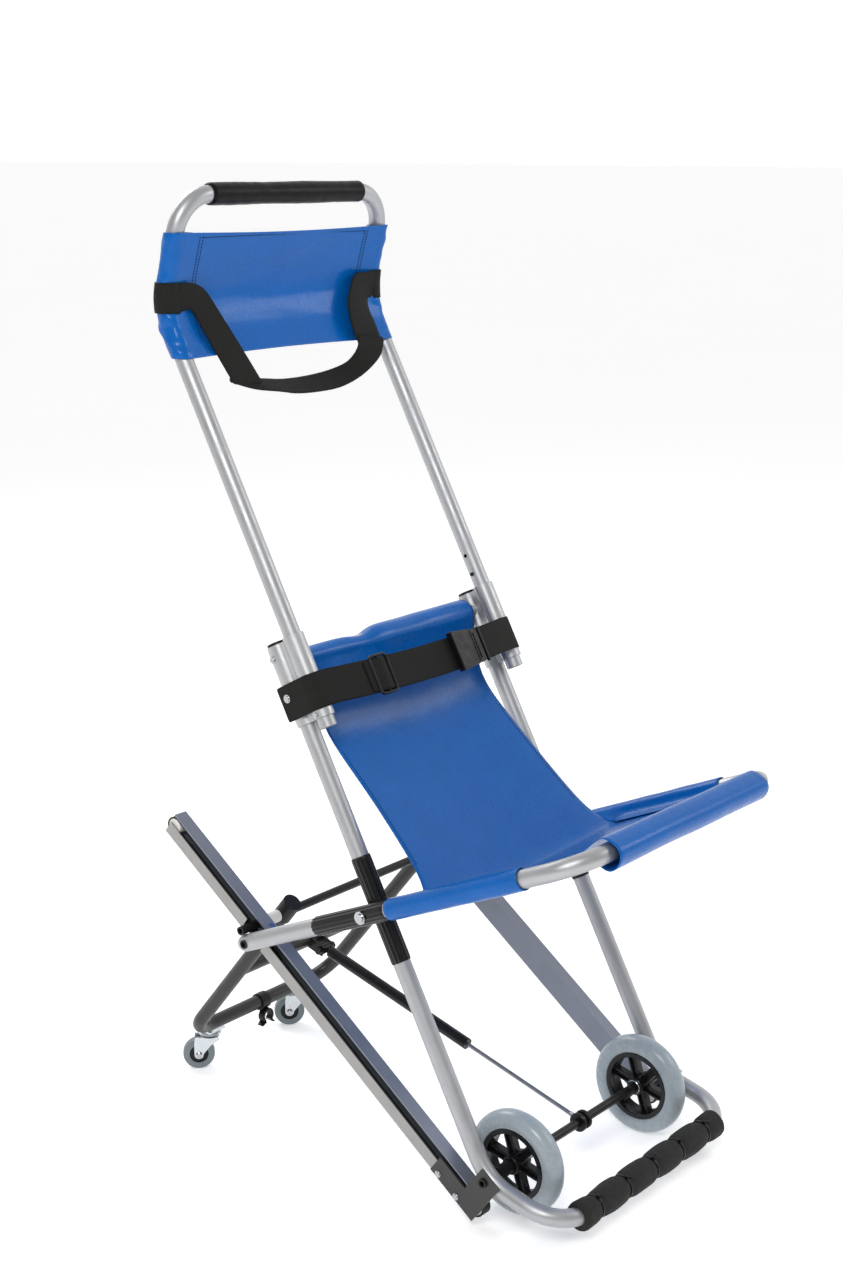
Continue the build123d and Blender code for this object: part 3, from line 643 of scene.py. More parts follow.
def make_hub(side, label):
    """Rim, boss and washer, with double-walled spokes between them."""
    centre = at(side * WHEEL_X, 0, AXLE_Z)
    inward = [(r, -side * h) for r, h in WASHER]
    pieces = [lathe("rim", centre, X, RIM, HUB, 72), lathe("boss", centre, X, BOSS, HUB, 48)]
    pieces.append(lathe("washer", centre, X, inward, ZINC, 48))
    for k in range(SPOKES):
        ray = ring_ray(360 * k / SPOKES + 12)
        tangent = X.cross(ray)
        axes = (ray, tangent, X)
        spoke = centre + ray * 0.029
        for shift in (-0.0052, 0.0052):
            size = (0.032, 0.0028, 0.0125)
            pieces.append(box_piece("rib", spoke + tangent * shift, size, axes, HUB, 0.0007))
        pieces.append(box_piece("web", spoke, (0.032, 0.0104, 0.004), axes, HUB, 0.0005))
    return joined(f"hub_detail_{label}", pieces)


def make_wheels():
    for side, label in ((1, "right"), (-1, "left")):
        centre = at(side * WHEEL_X, 0, AXLE_Z)
        tyre = lathe(f"tyre_detail_{label}", centre, X, tyre_profile(), TYRE, 128)
        belongs(tyre, f"wheel_{label}", "tyre_grey", f"tyre_{label}")
        belongs(make_hub(side, label), f"wheel_{label}", "hub_black", f"hub_{label}")


# ---- castors ---------------------------------------------------------------------------

CASTOR_HEADING = 135.7
TREAD = [
    (0.015, -0.0075), (0.0225, -0.008), (0.0242, -0.0072), (0.0249, -0.005), (0.025, 0.0),
    (0.0249, 0.005), (0.0242, 0.0072), (0.0225, 0.008), (0.015, 0.0075),
]
CASTOR_CORE = [
    (0.0032, -0.0085), (0.007, -0.0085), (0.0075, -0.006), (0.0155, -0.0058),
    (0.0155, 0.0058), (0.0075, 0.006), (0.007, 0.0085), (0.0032, 0.0085),
]
CASTOR_BOLT = [(0.0002, 0.003), (0.0034, 0.003), (0.0052, 0.0016), (0.0054, 0.0), (0.0002, 0.0)]
CROWN = [(0.0002, 0.03), (0.012, 0.03), (0.0148, 0.029), (0.015, 0.0275), (0.0002, 0.0268)]
RACE = [
    (0.0002, 0.0325), (0.0165, 0.0325), (0.0182, 0.0338), (0.017, 0.0372), (0.012, 0.0388),
    (0.0002, 0.039),
]
GROOVE = [(0.0002, 0.0298), (0.0105, 0.0298), (0.0105, 0.0328), (0.0002, 0.0328)]


def cheek_outline():
    """Side plate of the fork: wide at the top, round about the wheel's bolt."""
    nose = 0.0072
    outline = [(-0.03, 0.029), (0.006, 0.029), (0.0075, 0.018), (nose, 0.0)]
    for k in range(1, 8):
        angle = -math.pi * k / 8
        outline.append((nose * math.cos(angle), nose * math.sin(angle)))
    return outline + [(-nose, 0.001), (-0.019, 0.015), (-0.033, 0.025)]


def make_castor_wheel(label, centre, sideways):
    tread = lathe(f"castor_tread_piece_{label}", centre, sideways, TREAD, CASTOR, 64)
    core = lathe(f"castor_core_{label}", centre, sideways, CASTOR_CORE, BLACK_PLASTIC, 48)
    wheel = joined(f"castor_wheel_detail_{label}", [tread, core])
    belongs(wheel, f"castor_tread_{label}", "castor_rubber", f"castor_wheel_{label}")


def make_castor_fork(label, centre, heading, sideways):
    axes = (heading, UP, sideways)
    stem = centre - heading * 0.018
    pieces = []
    for sign in (-1, 1):
        origin = centre + sideways * (sign * 0.0105 - 0.0009)
        pieces.append(plate_piece("cheek", cheek_outline(), origin, axes, 0.0018, ZINC, 0.0004))
        place = centre + sideways * sign * 0.0113
        pieces.append(lathe("bolt", place, sideways * sign, CASTOR_BOLT, CHROME, 24))
    pieces.append(lathe("crown", stem, UP, CROWN, ZINC, 48))
    pieces.append(lathe("race", stem, UP, RACE, ZINC, 64))
    pieces.append(lathe("groove", stem, UP, GROOVE, BLACK_TUBE, 48))
    fork = joined(f"castor_fork_detail_{label}", pieces)
    belongs(fork, f"castor_{label}", "zinc", f"castor_fork_{label}")


def make_castors():
    y, z = polar(CASTOR_HEADING)
    heading = Vector((y, z, 0))
    sideways = heading.cross(UP)
    for label in ("left", "right"):
        centre = middle(f"castor_wheel_{label}")
        make_castor_wheel(label, centre, sideways)
        make_castor_fork(label, centre, heading, sideways)


# ---- ribbed sleeves, foam and grip -----------------------------------------------------

GROOVES = 14
LEG_SLEEVE = (0.3126, 0.4656)
SEAT_SLEEVE = (-0.098, 0.0415)
FOOT_HALF = 0.172
TIE_STEP = 0.067
TIE_PLACES = (-0.135, -TIE_STEP, 0.0, TIE_STEP, 0.135)
TIE_BAND = [
    (0.016, -0.0017), (0.0172, -0.0019), (0.0177, -0.0012), (0.0177, 0.0012), (0.0172, 0.0019),
    (0.016, 0.0017),
]
GRIP_HALF = 0.158
GRIP_R = 0.0157


def ribbed(share, angle):
    """Shallow grooves along the sleeve, and a slightly drawn-in mouth at each end."""
    end = min(share, 1 - share) * 60
    edge = 0.0006 * max(0.0, 1 - end)
    return 0.0136 + 0.00045 * math.cos(GROOVES * angle) - edge


def ribbed_sleeve(name, start, end, body):
    line = [start.lerp(end, k / 40) for k in range(41)]
    sleeve = round_tube(name, line, ribbed, SLEEVE, sides=112, up=X)
    belongs(sleeve, body, "black_plastic")
    return sleeve


def make_sleeves():
    for side, label in ((1, "right"), (-1, "left")):
        low, high = [main_at(s, 0, side * MAIN_X) for s in LEG_SLEEVE]
        leg = ribbed_sleeve(f"leg_sleeve_{label}", low, high, "frame")
        rear, front = [seat_at(r, 0, side * SEAT_X) for r in SEAT_SLEEVE]
        seat = ribbed_sleeve(f"seat_sleeve_{label}", rear, front, "seat")
        if side > 0:
            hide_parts("pivot_sleeves")
            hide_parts("seat_pivot_sleeves")


def level_line(centre, half, steps):
    """Points along X through a centre."""
    return [Vector((-half + 2 * half * k / steps, centre.y, centre.z)) for k in range(steps + 1)]


def foam_radius(x, angle):
    """Foam squeezed under each tie and swelling between them."""
    r = 0.0198
    for tie in TIE_PLACES:
        r -= 0.0034 * math.exp(-((x - tie) / 0.0065) ** 2)
    r += 0.0007 * math.cos(2 * math.pi * x / TIE_STEP + math.pi)
    point = Vector((x, math.cos(angle), math.sin(angle)))
    return r + 0.0009 * noise.noise(point * 2.2 + Vector((x * 30, 0, 0)))


def make_foot():
    centre = middle("foot_foam")

    def radius(share, angle):
        end = min(share, 1 - share) * 2 * FOOT_HALF
        mouth = 0.0022 * max(0.0, 1 - end / 0.004) ** 2
        return foam_radius(-FOOT_HALF + 2 * FOOT_HALF * share, angle) - mouth

    foam = round_tube("foot_foam_sleeve", level_line(centre, FOOT_HALF, 150), radius, FOAM, sides=64)
    belongs(foam, "frame", "foam", "foot_foam")
    make_foot_ties(centre)


def make_foot_ties(centre):
    """Cable ties: a band, the square head and the cut tail standing up from it."""
    pieces = []
    for k, x in enumerate(TIE_PLACES):
        place = Vector((x, centre.y, centre.z))
        pieces.append(lathe("tie", place, X, TIE_BAND, BLACK_PLASTIC, 48))
        ray = ring_ray(112 + 7 * math.sin(3 * k))
        tangent = X.cross(ray)
        head = place + ray * 0.0192
        size = (0.005, 0.0055, 0.0042)
        pieces.append(box_piece("head", head, size, (X, tangent, ray), BLACK_PLASTIC, 0.0009))
        lift = (tangent * (0.5 + 0.4 * math.sin(2 * k)) + ray * 0.9).normalized()
        axes = (X, lift, X.cross(lift))
        tail = head + lift * 0.0055
        pieces.append(box_piece("tail", tail, (0.0028, 0.0085, 0.0012), axes, BLACK_PLASTIC, 0.0003))
    belongs(joined("foot_tie_bands", pieces), "frame", "black_plastic", "foot_ties")


def make_grip():
    def radius(share, angle):
        end = min(share, 1 - share) * 2 * GRIP_HALF
        x = share * 2 * GRIP_HALF
        uneven = noise.noise(Vector((x * 60, math.cos(angle), math.sin(angle))))
        swell = 0.0004 * math.sin(x * 40) + 0.0003 * uneven
        return GRIP_R + swell - 0.0016 * max(0.0, 1 - end / 0.003) ** 2

    line = level_line(middle("handle_grip"), GRIP_HALF, 120)
    grip = round_tube("handle_grip_sleeve", line, radius, GRIP_FOAM, sides=64)
    belongs(grip, "handle", "foam", "handle_grip")


# ---- headrest and its strap ------------------------------------------------------------

KINK = main_at(1.265, 0.034)
TOP = at(0, 0.552, 1.356)
HEADREST_LOW, HEADREST_HIGH = 1.1345, 1.305
BAND_R = TUBE_R + 0.0028
BAND_ROWS = 57
PANEL_STEPS = 30
STRAP_LOW, STRAP_WIDTH = 1.195, 0.042
FRONT = Vector((0, -1, 0))


def handle_y(z):
    """Depth of the handle tube's centre line at a height, with its bend rounded."""
    low_slope = MAIN_DIR[0] / MAIN_DIR[1]
    high_slope = (TOP.y - KINK.y) / (TOP.z - KINK.z)
    d = (z - KINK.z) / 0.03
    share = 1 / (1 + math.exp(-d * 1.6))
    low = KINK.y + (z - KINK.z) * low_slope
    high = KINK.y + (z - KINK.z) * high_slope
    return low * (1 - share) + high * share - 0.0055 * math.exp(-d * d)


def headrest_z(share):
    return HEADREST_LOW + (HEADREST_HIGH - HEADREST_LOW) * share


def headrest_hollow(share, u):
    """How far the panel bows back from the tubes, at a share up it and a share u across."""
    deepest = 0.004 + 0.008 * math.sin(math.pi * share) ** 1.2
    return deepest * math.sin(math.pi * u) ** 0.6


def lean_stretch(z):
    """How much longer a level cut through the handle tube is from front to back."""
    share = min(max((1.212 - z) / 0.03, 0.0), 1.0)
    return 1.022 + share * 0.121


def sleeve_arc(side, z, count=15):
    """Points round one tube, from the seam behind the panel, over the outside, to the front."""
    points = []
    ruck = 0.0044 if z < STRAP_LOW else 0.0026
    for k in range(count):
        angle = math.radians(128 - 218 * k / (count - 1))
        place = Vector((side * 3 + angle * 1.1, 0.4 * angle, z * 62))
        r = BAND_R + ruck * max(noise.noise(place), -0.15)
        x = side * (MAIN_X + r * math.cos(angle))
        points.append(Vector((x, handle_y(z) + lean_stretch(z) * r * math.sin(angle), z)))
    return points


def headrest_panel(z, share):
    """Points of the panel between the tubes: bowed back, rippled and dipping in the middle."""
    points = []
    front = handle_y(z) - BAND_R * lean_stretch(z)
    for k in range(1, PANEL_STEPS):
        u = k / PANEL_STEPS
        x = -MAIN_X + 2 * MAIN_X * u
        ripple = 0.0011 * noise.noise(Vector((x * 9, 2.0, z * 42))) * (1 - abs(2 * u - 1) ** 4)
        dip = 0.0035 * math.sin(math.pi * u) * (1 - 2 * share) ** 3
        points.append(Vector((x, front + headrest_hollow(share, u) + ripple, z + dip)))
    return points


def make_headrest():
    rows = []
    for i in range(BAND_ROWS):
        share = i / (BAND_ROWS - 1)
        z = headrest_z(share)
        flap = MAIN_X - 0.03
        behind = handle_y(z) - 0.0105
        left = [Vector((-flap, behind, z))] + sleeve_arc(-1, z)
        right = sleeve_arc(1, z)[::-1] + [Vector((flap, behind, z))]
        rows.append(left + headrest_panel(z, share) + right)
    band = sheet_piece("headrest_band", rows, FABRIC, 0.0012)
    belongs(band, "handle", "blue_fabric", "headrest")


def stitch_line(name, points, normal, body, pitch=0.0042, length=0.0028):
    """Row of short raised stitches along a line."""
    line = smooth_line(points, max(int(arc_lengths(points)[-1] / pitch), 2))
    rise = normal.normalized() * 0.0008
    verts, faces = [], []
    for a, b in zip(line, line[1:]):
        along = (b - a).normalized()
        side = along.cross(normal).normalized() * 0.0006
        end = a + along * length
        base = len(verts)
        verts += [a + side, a - side, end - side, end + side, a.lerp(end, 0.5) + rise]
        faces += [(base + k, base + (k + 1) % 4, base + 4) for k in range(4)]
    belongs(mesh_piece(name, verts, faces, THREAD, sharp=80), body, "blue_fabric")


def headrest_front(x, share):
    """Point of the front panel's face at a place across and up it, where a stitch lies."""
    z = headrest_z(share)
    u = (x + MAIN_X) / (2 * MAIN_X)
    y = handle_y(z) - BAND_R * lean_stretch(z) + headrest_hollow(share, u)
    return Vector((x, y - 0.0013, z))


def headrest_seams():
    for side, label in ((-1, "left"), (1, "right")):
        for inset in (36, 42):
            x = side * (MAIN_X - inset / 1000)
            points = [headrest_front(x, 0.03 + 0.94 * k / 8) for k in range(9)]
            stitch_line(f"headrest_seam_{label}_{inset}", points, FRONT, "handle")
    for edge, share in (("low", 0.055), ("top", 0.955)):
        points = [headrest_front(-0.17 + 0.34 * k / 24, share) for k in range(25)]
        stitch_line(f"headrest_hem_{edge}", points, FRONT, "handle")


def wrap_ring(side):
    """Strap wound round one tube over the headrest's sleeve."""
    rows = []
    for k in range(41):
        angle = 2 * math.pi * k / 40
        row = []
        for j in range(5):
            z = STRAP_LOW + STRAP_WIDTH * j / 4
            r = TUBE_R + 0.0052 + 0.0004 * math.sin(5 * angle + j)
            x = side * (MAIN_X - r * math.cos(angle))
            row.append(Vector((x, handle_y(z) - 1.04 * r * math.sin(angle), z)))
        rows.append(row)
    return sheet_piece("wrap", rows, WEBBING, 0.0015)


def ribbon(edge_a, edge_b, count=36):
    """Webbing between two edge lines given as (x, y from the axle, z)."""
    sides = [smooth_line([at(*point) for point in edge], count) for edge in (edge_a, edge_b)]
    rows = [[a.lerp(b, j / 5) for j in range(6)] for a, b in zip(*sides)]
    return sheet_piece("ribbon", rows, WEBBING, 0.0015)


LEFT_RUN = (
    [(-0.206, 0.5612, 1.237), (-0.18, 0.56, 1.2345), (-0.159, 0.559, 1.223),
     (-0.142, 0.548, 1.191), (-0.119, 0.532, 1.145), (-0.093, 0.5155, 1.093)],
    [(-0.208, 0.566, 1.196), (-0.194, 0.563, 1.1985), (-0.187, 0.56, 1.199),
     (-0.177, 0.548, 1.172), (-0.165, 0.533, 1.136), (-0.149, 0.5165, 1.095)],
)
HANGING_LOOP = (
    [(-0.154, 0.5215, 1.104), (-0.1, 0.526, 1.099), (-0.071, 0.529, 1.096),
     (-0.037, 0.531, 1.0925), (0.011, 0.532, 1.0925), (0.063, 0.53, 1.0975),
     (0.103, 0.527, 1.108), (0.123, 0.523, 1.128), (0.124, 0.524, 1.145)],
    [(-0.158, 0.515, 1.0995), (-0.118, 0.506, 1.087), (-0.071, 0.501, 1.08),
     (-0.037, 0.5, 1.0745), (0.011, 0.5, 1.073), (0.063, 0.501, 1.076),
     (0.118, 0.506, 1.09), (0.166, 0.515, 1.113), (0.179, 0.52, 1.14)],
)
RIGHT_RUN = (
    [(0.206, 0.5612, 1.237), (0.176, 0.5605, 1.235), (0.156, 0.559, 1.232),
     (0.139, 0.554, 1.208), (0.129, 0.548, 1.19), (0.122, 0.535, 1.162),
     (0.126, 0.523, 1.13)],
    [(0.208, 0.566, 1.196), (0.198, 0.564, 1.1965), (0.19, 0.561, 1.196),
     (0.184, 0.557, 1.19), (0.18, 0.55, 1.178), (0.1785, 0.537, 1.159),
     (0.179, 0.523, 1.131)],
)


def make_head_strap():
    """Strap: a wrap on each tube, a slanting run each side and the loop hanging between."""
    pieces = [wrap_ring(-1), wrap_ring(1)]
    pieces += [ribbon(top, low) for top, low in (LEFT_RUN, HANGING_LOOP, RIGHT_RUN)]
    belongs(joined("head_strap_webbing", pieces), "handle", "webbing", "head_strap")


# ---- strut rod and clip ----------------------------------------------------------------

STRUT_DIR = Vector((0, 0.488, 0.133)).normalized()
ROD_R = 0.003
COLLAR_DISC = [
    (0.0068, -0.003), (0.0125, -0.003), (0.0138, -0.0018), (0.0138, 0.0018), (0.0125, 0.003),
    (0.0068, 0.003),
]
COLLAR_HUB = [(0.0068, -0.003), (0.0096, -0.003), (0.0096, 0.003), (0.0068, 0.003)]
CLIP_BAND = [(0.0112, -0.009), (0.0136, -0.009), (0.014, 0.0), (0.0136, 0.009), (0.0112, 0.009)]
JAW_OUTER, JAW_INNER = 0.0125, 0.0078


def make_strut_rod():
    """Thin rod with two black discs and a small clamp where it hangs on the axle."""
    foot = at(0, 0, AXLE_Z)
    line = [foot + STRUT_DIR * (0.012 + 0.318 * k / 12) for k in range(13)]
    pieces = [round_tube("rod", line, lambda share, angle: ROD_R, STEEL_ROD, sides=24, up=X)]
    for x in (-0.0062, 0.0062):
        pieces.append(lathe("disc", foot + X * x, X, COLLAR_DISC, BLACK_PLASTIC, 48))
    pieces.append(lathe("hub", foot, X, COLLAR_HUB, BLACK_PLASTIC, 32))
    axes = (X, STRUT_DIR, STRUT_DIR.cross(X))
    place = foot + STRUT_DIR * 0.015
    pieces.append(box_piece("clamp", place, (0.005, 0.01, 0.007), axes, ZINC, 0.001))
    belongs(joined("strut_rod_detail", pieces), "strut_shaft", "zinc", "strut_rod")


def jaw_outline(sign):
    """One hooked arm of the clip's jaw, in the plane across the tube."""
    outline = []
    for k in range(11):
        across, up = polar(100 - 155 * k / 10)
        outline.append((sign * JAW_OUTER * across, JAW_OUTER * up))
    outline += [(sign * 0.015, -0.0125), (sign * 0.0135, -0.015), (sign * 0.0105, -0.014)]
    for k in range(11):
        across, up = polar(-58 + 158 * k / 10)
        outline.append((sign * JAW_INNER * across, JAW_INNER * up))
    return outline


def make_clip():
    """Sprung clip under the castor frame: a band round the tube and an open jaw below it."""
    high = Vector(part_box("stowage_clip")[1])
    tube = Vector((0, high.y - 0.0138, high.z - 0.0138))
    pieces = [lathe("band", tube, X, CLIP_BAND, BLACK_PLASTIC, 48)]
    origin = tube - Vector((0, 0.004, 0.022))
    for sign in (-1, 1):
        axes = (X, UP, FRONT)
        pieces.append(plate_piece("jaw", jaw_outline(sign), origin, axes, 0.012, BLACK_PLASTIC, 0.0012))
    belongs(joined("stowage_clip_detail", pieces), "castor_arm", "black_plastic", "stowage_clip")


# ---- sling -----------------------------------------------------------------------------

BAR_Y, BAR_Z = 0.366, 0.728
BAR_LOOP_R = 0.018
BAR_ANGLES = range(232, 557, 18)
BAR_STEPS = len(BAR_ANGLES)
FRONT_BAR = 0.374
FRONT_LOOP_R = 0.0172
SLING_COLUMNS = 33
BACK_HALF, FRONT_HALF = 0.185, 0.1835

# Edge y, z, half width and sag, down the back to the crease.
BACK_RUN = (
    (0.344, 0.7, 0.1835, 0.002), (0.337, 0.672, 0.1815, 0.005),
    (0.326, 0.641, 0.18, 0.009), (0.306, 0.616, 0.18, 0.012),
    (0.282, 0.594, 0.181, 0.014), (0.256, 0.571, 0.182, 0.016),
    (0.228, 0.546, 0.1835, 0.017), (0.2, 0.5205, 0.186, 0.018),
    (0.174, 0.497, 0.189, 0.018), (0.152, 0.4775, 0.1925, 0.017),
    (0.136, 0.464, 0.1975, 0.016), (0.124, 0.4545, 0.206, 0.015),
    (0.113, 0.447, 0.215, 0.014), (0.101, 0.443, 0.223, 0.013),
)
# Place along the seat, height off it, half width and sag, from the crease to the front bar.
SEAT_RUN = (
    (0.115, -0.0085, 0.227, 0.013), (0.14, -0.0085, 0.228, 0.014),
    (0.17, -0.0085, 0.228, 0.015), (0.2, -0.0085, 0.228, 0.015),
    (0.23, -0.0085, 0.228, 0.014), (0.258, -0.0083, 0.228, 0.012),
    (0.28, -0.0075, 0.227, 0.01), (0.29, -0.0065, 0.199, 0.009),
    (0.3, -0.005, 0.186, 0.008), (0.322, 0.0008, 0.1835, 0.006),
    (0.343, 0.01, 0.1835, 0.003), (0.358, 0.0162, 0.1835, 0.001),
)


def bar_loop(degrees):
    """Point round the back crossbar; 0 is rearward, 90 up, 180 to the front."""
    y, z = polar(degrees)
    return BAR_Y + BAR_LOOP_R * y, BAR_Z + BAR_LOOP_R * z


def seat_yz(r, n):
    p = seat_at(r, n)
    return p.y - AXLE_Y, p.z


def front_loop(degrees):
    """Point round the front bar, where the fabric hangs loose; 90 is up, 0 towards the front."""
    slack = 0.0022 + 0.0048 * max(polar(degrees + 45)[0], 0.0) ** 1.5
    slack += 0.0009 * polar(4 * degrees + 30)[0]
    ahead, up = polar(degrees)
    r = FRONT_LOOP_R + slack
    return seat_yz(FRONT_BAR + r * ahead, r * up)


def sling_stations():
    """(edge y, z, half width, extra sag along the seat's normal) from the back bar to the front bar."""
    out = [(*bar_loop(degrees), BACK_HALF, 0.0) for degrees in BAR_ANGLES]
    out += BACK_RUN
    out += [(*seat_yz(r, n), half, sag) for r, n, half, sag in SEAT_RUN]
    out += [(*front_loop(degrees), FRONT_HALF, 0.0) for degrees in range(90, -151, -20)]
    return out


def roll_point(i, x, y, z):
    """Point on the roll round the back bar: uneven, fuller on the right, with one deep tuck."""
    puff = 0.0022 * noise.noise(Vector((x * 11, i * 0.3, 1.0)))
    puff += 0.0035 * math.tanh((x + 0.045) / 0.02)
    puff -= 0.0065 * math.exp(-((x + 0.055) / 0.02) ** 2) * math.exp(-((i - 11.5) / 3.0) ** 2)
    dy, dz = y - BAR_Y, z - BAR_Z
    r = math.hypot(dy, dz)
    return at(x, y + dy / r * puff, z + dz / r * puff)


def sling_point(i, x, y, z, drop):
    """Point of the back or seat, sagging along the seat's normal, with soft creases at the fold."""
    ripple = 0.0014 * noise.noise(Vector((x * 8, i * 0.22, 4.0)))
    crease = 0.0035 * noise.noise(Vector((x * 16, i * 0.15, 7.0))) * math.exp(-((i - 30) / 3.0) ** 2)
    depth = drop + ripple + crease
    return at(x, y - SEAT_NORMAL[0] * depth, z - SEAT_NORMAL[1] * depth)


def make_sling():
    rows = []
    for i, (y, z, half, sag) in enumerate(sling_stations()):
        row = []
        for j in range(SLING_COLUMNS):
            v = 2 * j / (SLING_COLUMNS - 1) - 1
            if i < BAR_STEPS:
                row.append(roll_point(i, v * half, y, z))
            else:
                row.append(sling_point(i, v * half, y, z, sag * (1 - v * v) ** 1.5))
        rows.append(row)
    sling = sheet_piece("sling_panel", rows, FABRIC, 0.0011)
    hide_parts("sling_back", "sling_seat")
    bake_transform(sling)
    sling_stitches(rows)


def edge_point(row, side, inset):
    """Point on a row of the sling, a given distance in from one edge."""
    a, b = (row[0], row[1]) if side < 0 else (row[-1], row[-2])
    c = row[2] if side < 0 else row[-3]
    if (b - a).length >= inset:
        return a.lerp(b, inset / (b - a).length)
    return b.lerp(c, (inset - (b - a).length) / (c - b).length)


def sling_stitches(rows):
    """Hem stitching: down both edges of the back, and along both sides of the seat."""
    back_normal = Vector((0, -0.7, 0.71))
    seat_normal = Vector((0, *SEAT_NORMAL))
    sides = ((-1, "left"), (1, "right"))
    for side, label in sides:
        hem = [edge_point(row, side, 0.006) for row in rows[BAR_STEPS:BAR_STEPS + 10]]
        points = [p + back_normal * 0.001 for p in hem]
        stitch_line(f"sling_seam_{label}", points, back_normal, "frame")
    for side, label in sides:
        x = side * (SEAT_X - 0.03)
        points = [seat_at(0.112 + 0.166 * k / 12, -0.0072, x) for k in range(13)]
        stitch_line(f"seat_seam_{label}", points, seat_normal, "seat")


def side_sleeve_row(side, r):
    """Section of a side sleeve: a lower flap, the way round the tube, and an upper flap."""
    flap = min(max((r - 0.086) / 0.022, 0.0), 1.0)

    def inboard(n, near, reach):
        return seat_at(r, n, side * (SEAT_X - near - reach * flap))

    row = [inboard(-0.0105, 0.0145, 0.0195), inboard(-0.0112, 0.014, 0.008)]
    for k in range(23):
        angle = math.radians(-150 + 322 * k / 22)
        crease = 0.0007 * noise.noise(Vector((r * 30, angle * 1.2, side * 2.0)))
        across = 0.0148 + crease
        row.append(seat_at(r, across * math.sin(angle), side * (SEAT_X + across * math.cos(angle))))
    return row + [inboard(-0.0062, 0.0146, 0.0094), inboard(-0.0068, 0.0148, 0.0212)]


def make_side_sleeves():
    """Sewn sleeves that hold the sling on the seat's side tubes."""
    for side, label in ((1, "right"), (-1, "left")):
        rows = [side_sleeve_row(side, 0.046 + 0.238 * i / 30) for i in range(31)]
        sleeve = sheet_piece(f"seat_side_sleeve_{label}", rows, FABRIC, 0.0011)
        belongs(sleeve, "seat", "blue_fabric")


# ---- chest belt ------------------------------------------------------------------------

BELT_S = 0.696
BELT_N = 0.0585
BELT_WIDTH = 0.05
BELT_R = 0.0167
BELT_UP = Vector((0, *MAIN_DIR))
BELT_OUT = Vector((0, *MAIN_NORMAL))
BELT_AXES = (X, BELT_UP, BELT_OUT)
ADJUSTER_X, BUCKLE_X = -0.1, 0.081
LOOP_OVER_BAR = (
    (-0.03, 0.0016), (-0.0185, 0.0018), (-0.012, 0.003), (-0.005, 0.0066),
    (0.0, 0.0072), (0.005, 0.0066), (0.012, 0.003), (0.015, 0.0018),
)
SOCKET = [
    (-0.023, -0.029), (-0.02, -0.0305), (-0.016, -0.03), (0.015, -0.0275),
    (0.022, -0.026), (0.022, 0.026), (0.015, 0.0275), (-0.016, 0.03),
    (-0.02, 0.0305), (-0.023, 0.029),
]


def belt_at(x, n):
    """Point on the belt at a place across the chair, with the slack's droop in the middle."""
    droop = 0.0075 * (1 - (x / 0.2) ** 2) if abs(x) < 0.2 else 0.0
    return main_at(BELT_S - droop, n, x)


def belt_line():
    """(x, n) across the chair: back of one leg, round its front, straight over, and the same again."""
    outer = MAIN_X + BELT_R
    half = [(outer, n) for n in (-0.016, -0.004, 0.012, 0.026, 0.034)]
    for degrees in (15, 30, 45, 60, 74):
        x, n = polar(degrees)
        half.append((MAIN_X + BELT_R * x, 0.034 + BELT_R * n))
    half += [(0.198, 0.0525), (0.175, 0.055), (0.15, 0.057)]
    half += [(0.12, BELT_N), (0.085, BELT_N + 0.0004), (0.045, BELT_N)]
    return half + [(0.0, BELT_N)] + [(-x, n) for x, n in reversed(half)]


def make_belt():
    line = smooth_line([belt_at(x, n) for x, n in belt_line()], 150)
    rows = [[p + BELT_UP * BELT_WIDTH * (j / 6 - 0.5) for j in range(7)] for p in line]
    belt = sheet_piece("chest_belt_webbing", rows, WEBBING, 0.0016)
    belongs(belt, "frame", "webbing", "chest_belt")


def adjuster_frame(centre, half_width, half_height):
    """Closed line with rounded corners, in the belt's plane."""
    corner = 0.006
    line = []
    for sx, sy, start in ((1, 1, 0), (-1, 1, 90), (-1, -1, 180), (1, -1, 270)):
        for k in range(5):
            dx, dy = polar(start + 22.5 * k)
            dx = sx * (half_width - corner) + corner * dx
            dy = sy * (half_height - corner) + corner * dy
            line.append(centre + X * dx + BELT_UP * dy)
    return line + line[:2]


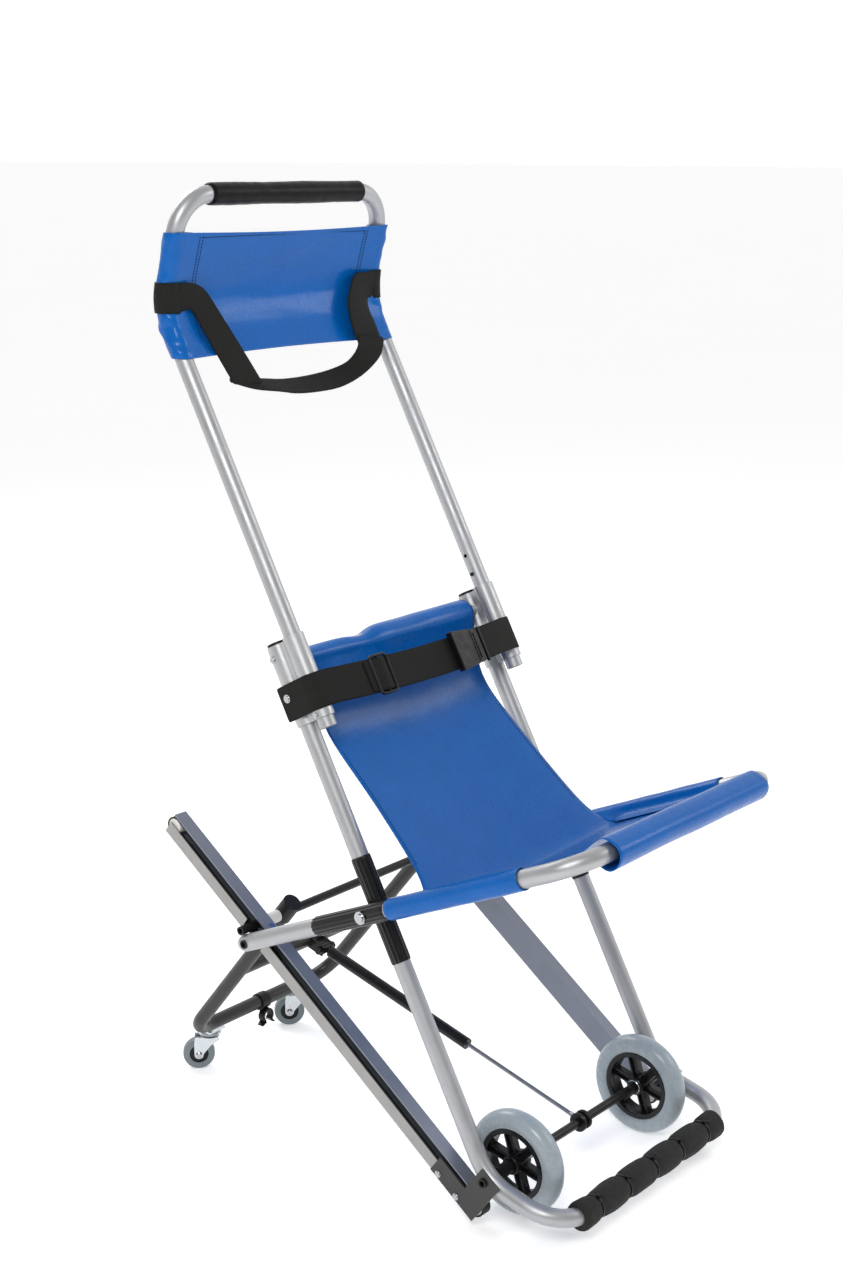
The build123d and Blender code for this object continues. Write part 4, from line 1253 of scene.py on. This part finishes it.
def make_adjuster():
    """Three-bar slider: rounded frame, middle bar, with the webbing looped over it."""
    centre = belt_at(ADJUSTER_X, BELT_N + 0.003)
    half_width, half_height = 0.0175, 0.0275
    line = adjuster_frame(centre, half_width, half_height)
    settings = {"sides": 14, "up": BELT_OUT}
    frame_bar = round_tube("frame", line, lambda s, a: 0.0024, BLACK_PLASTIC, caps=False, **settings)
    low = centre - BELT_UP * (half_height - 0.002)
    high = centre + BELT_UP * (half_height - 0.002)
    line = [low.lerp(high, k / 6) for k in range(7)]
    middle_bar = round_tube("bar", line, lambda s, a: 0.003, BLACK_PLASTIC, **settings)
    adjuster = joined("belt_adjuster_detail", [frame_bar, middle_bar])
    belongs(adjuster, "frame", "black_plastic", "belt_adjuster")
    rows = []
    for dx, dn in LOOP_OVER_BAR:
        place = belt_at(ADJUSTER_X + dx, BELT_N + dn)
        rows.append([place + BELT_UP * 0.0475 * (j / 6 - 0.5) for j in range(7)])
    loop = sheet_piece("adjuster_webbing_loop", rows, WEBBING, 0.0014)
    belongs(loop, "frame", "webbing")


def make_buckle():
    """Side-release buckle: socket half with a curved end, and the prong half with its bar."""
    centre = belt_at(BUCKLE_X, BELT_N + 0.0012)

    def block(name, along, up, out, size, bevel=0.0012):
        place = centre + X * along + BELT_UP * up + BELT_OUT * out
        return box_piece(name, place, size, BELT_AXES, BLACK_PLASTIC, bevel)

    socket = [plate_piece("socket", SOCKET, centre, BELT_AXES, 0.009, BLACK_PLASTIC, 0.0016)]
    socket.append(block("rim", -0.0215, 0, 0.0055, (0.0036, 0.06, 0.011)))
    socket.append(block("ridge", 0.0205, 0, 0.0092, (0.003, 0.048, 0.0018), 0.0006))
    belongs(joined("buckle_socket_detail", socket), "frame", "black_plastic", "buckle_body")
    prongs = [block("prong", 0.026, y, 0.0045, (0.011, 0.007, 0.006)) for y in (-0.0225, 0.0225)]
    prongs.append(block("body", 0.033, 0, 0.0042, (0.01, 0.05, 0.0056)))
    prongs.append(block("bar", 0.043, 0, 0.0052, (0.004, 0.054, 0.005)))
    belongs(joined("buckle_prong_detail", prongs), "frame", "black_plastic", "buckle_prongs")


make_camera()
make_floor()
make_light()
dress_cad()
make_wheels()
make_castors()
make_sleeves()
make_foot()
make_grip()
make_headrest()
headrest_seams()
make_head_strap()
make_strut_rod()
make_clip()
make_sling()
make_side_sleeves()
make_belt()
make_adjuster()
make_buckle()
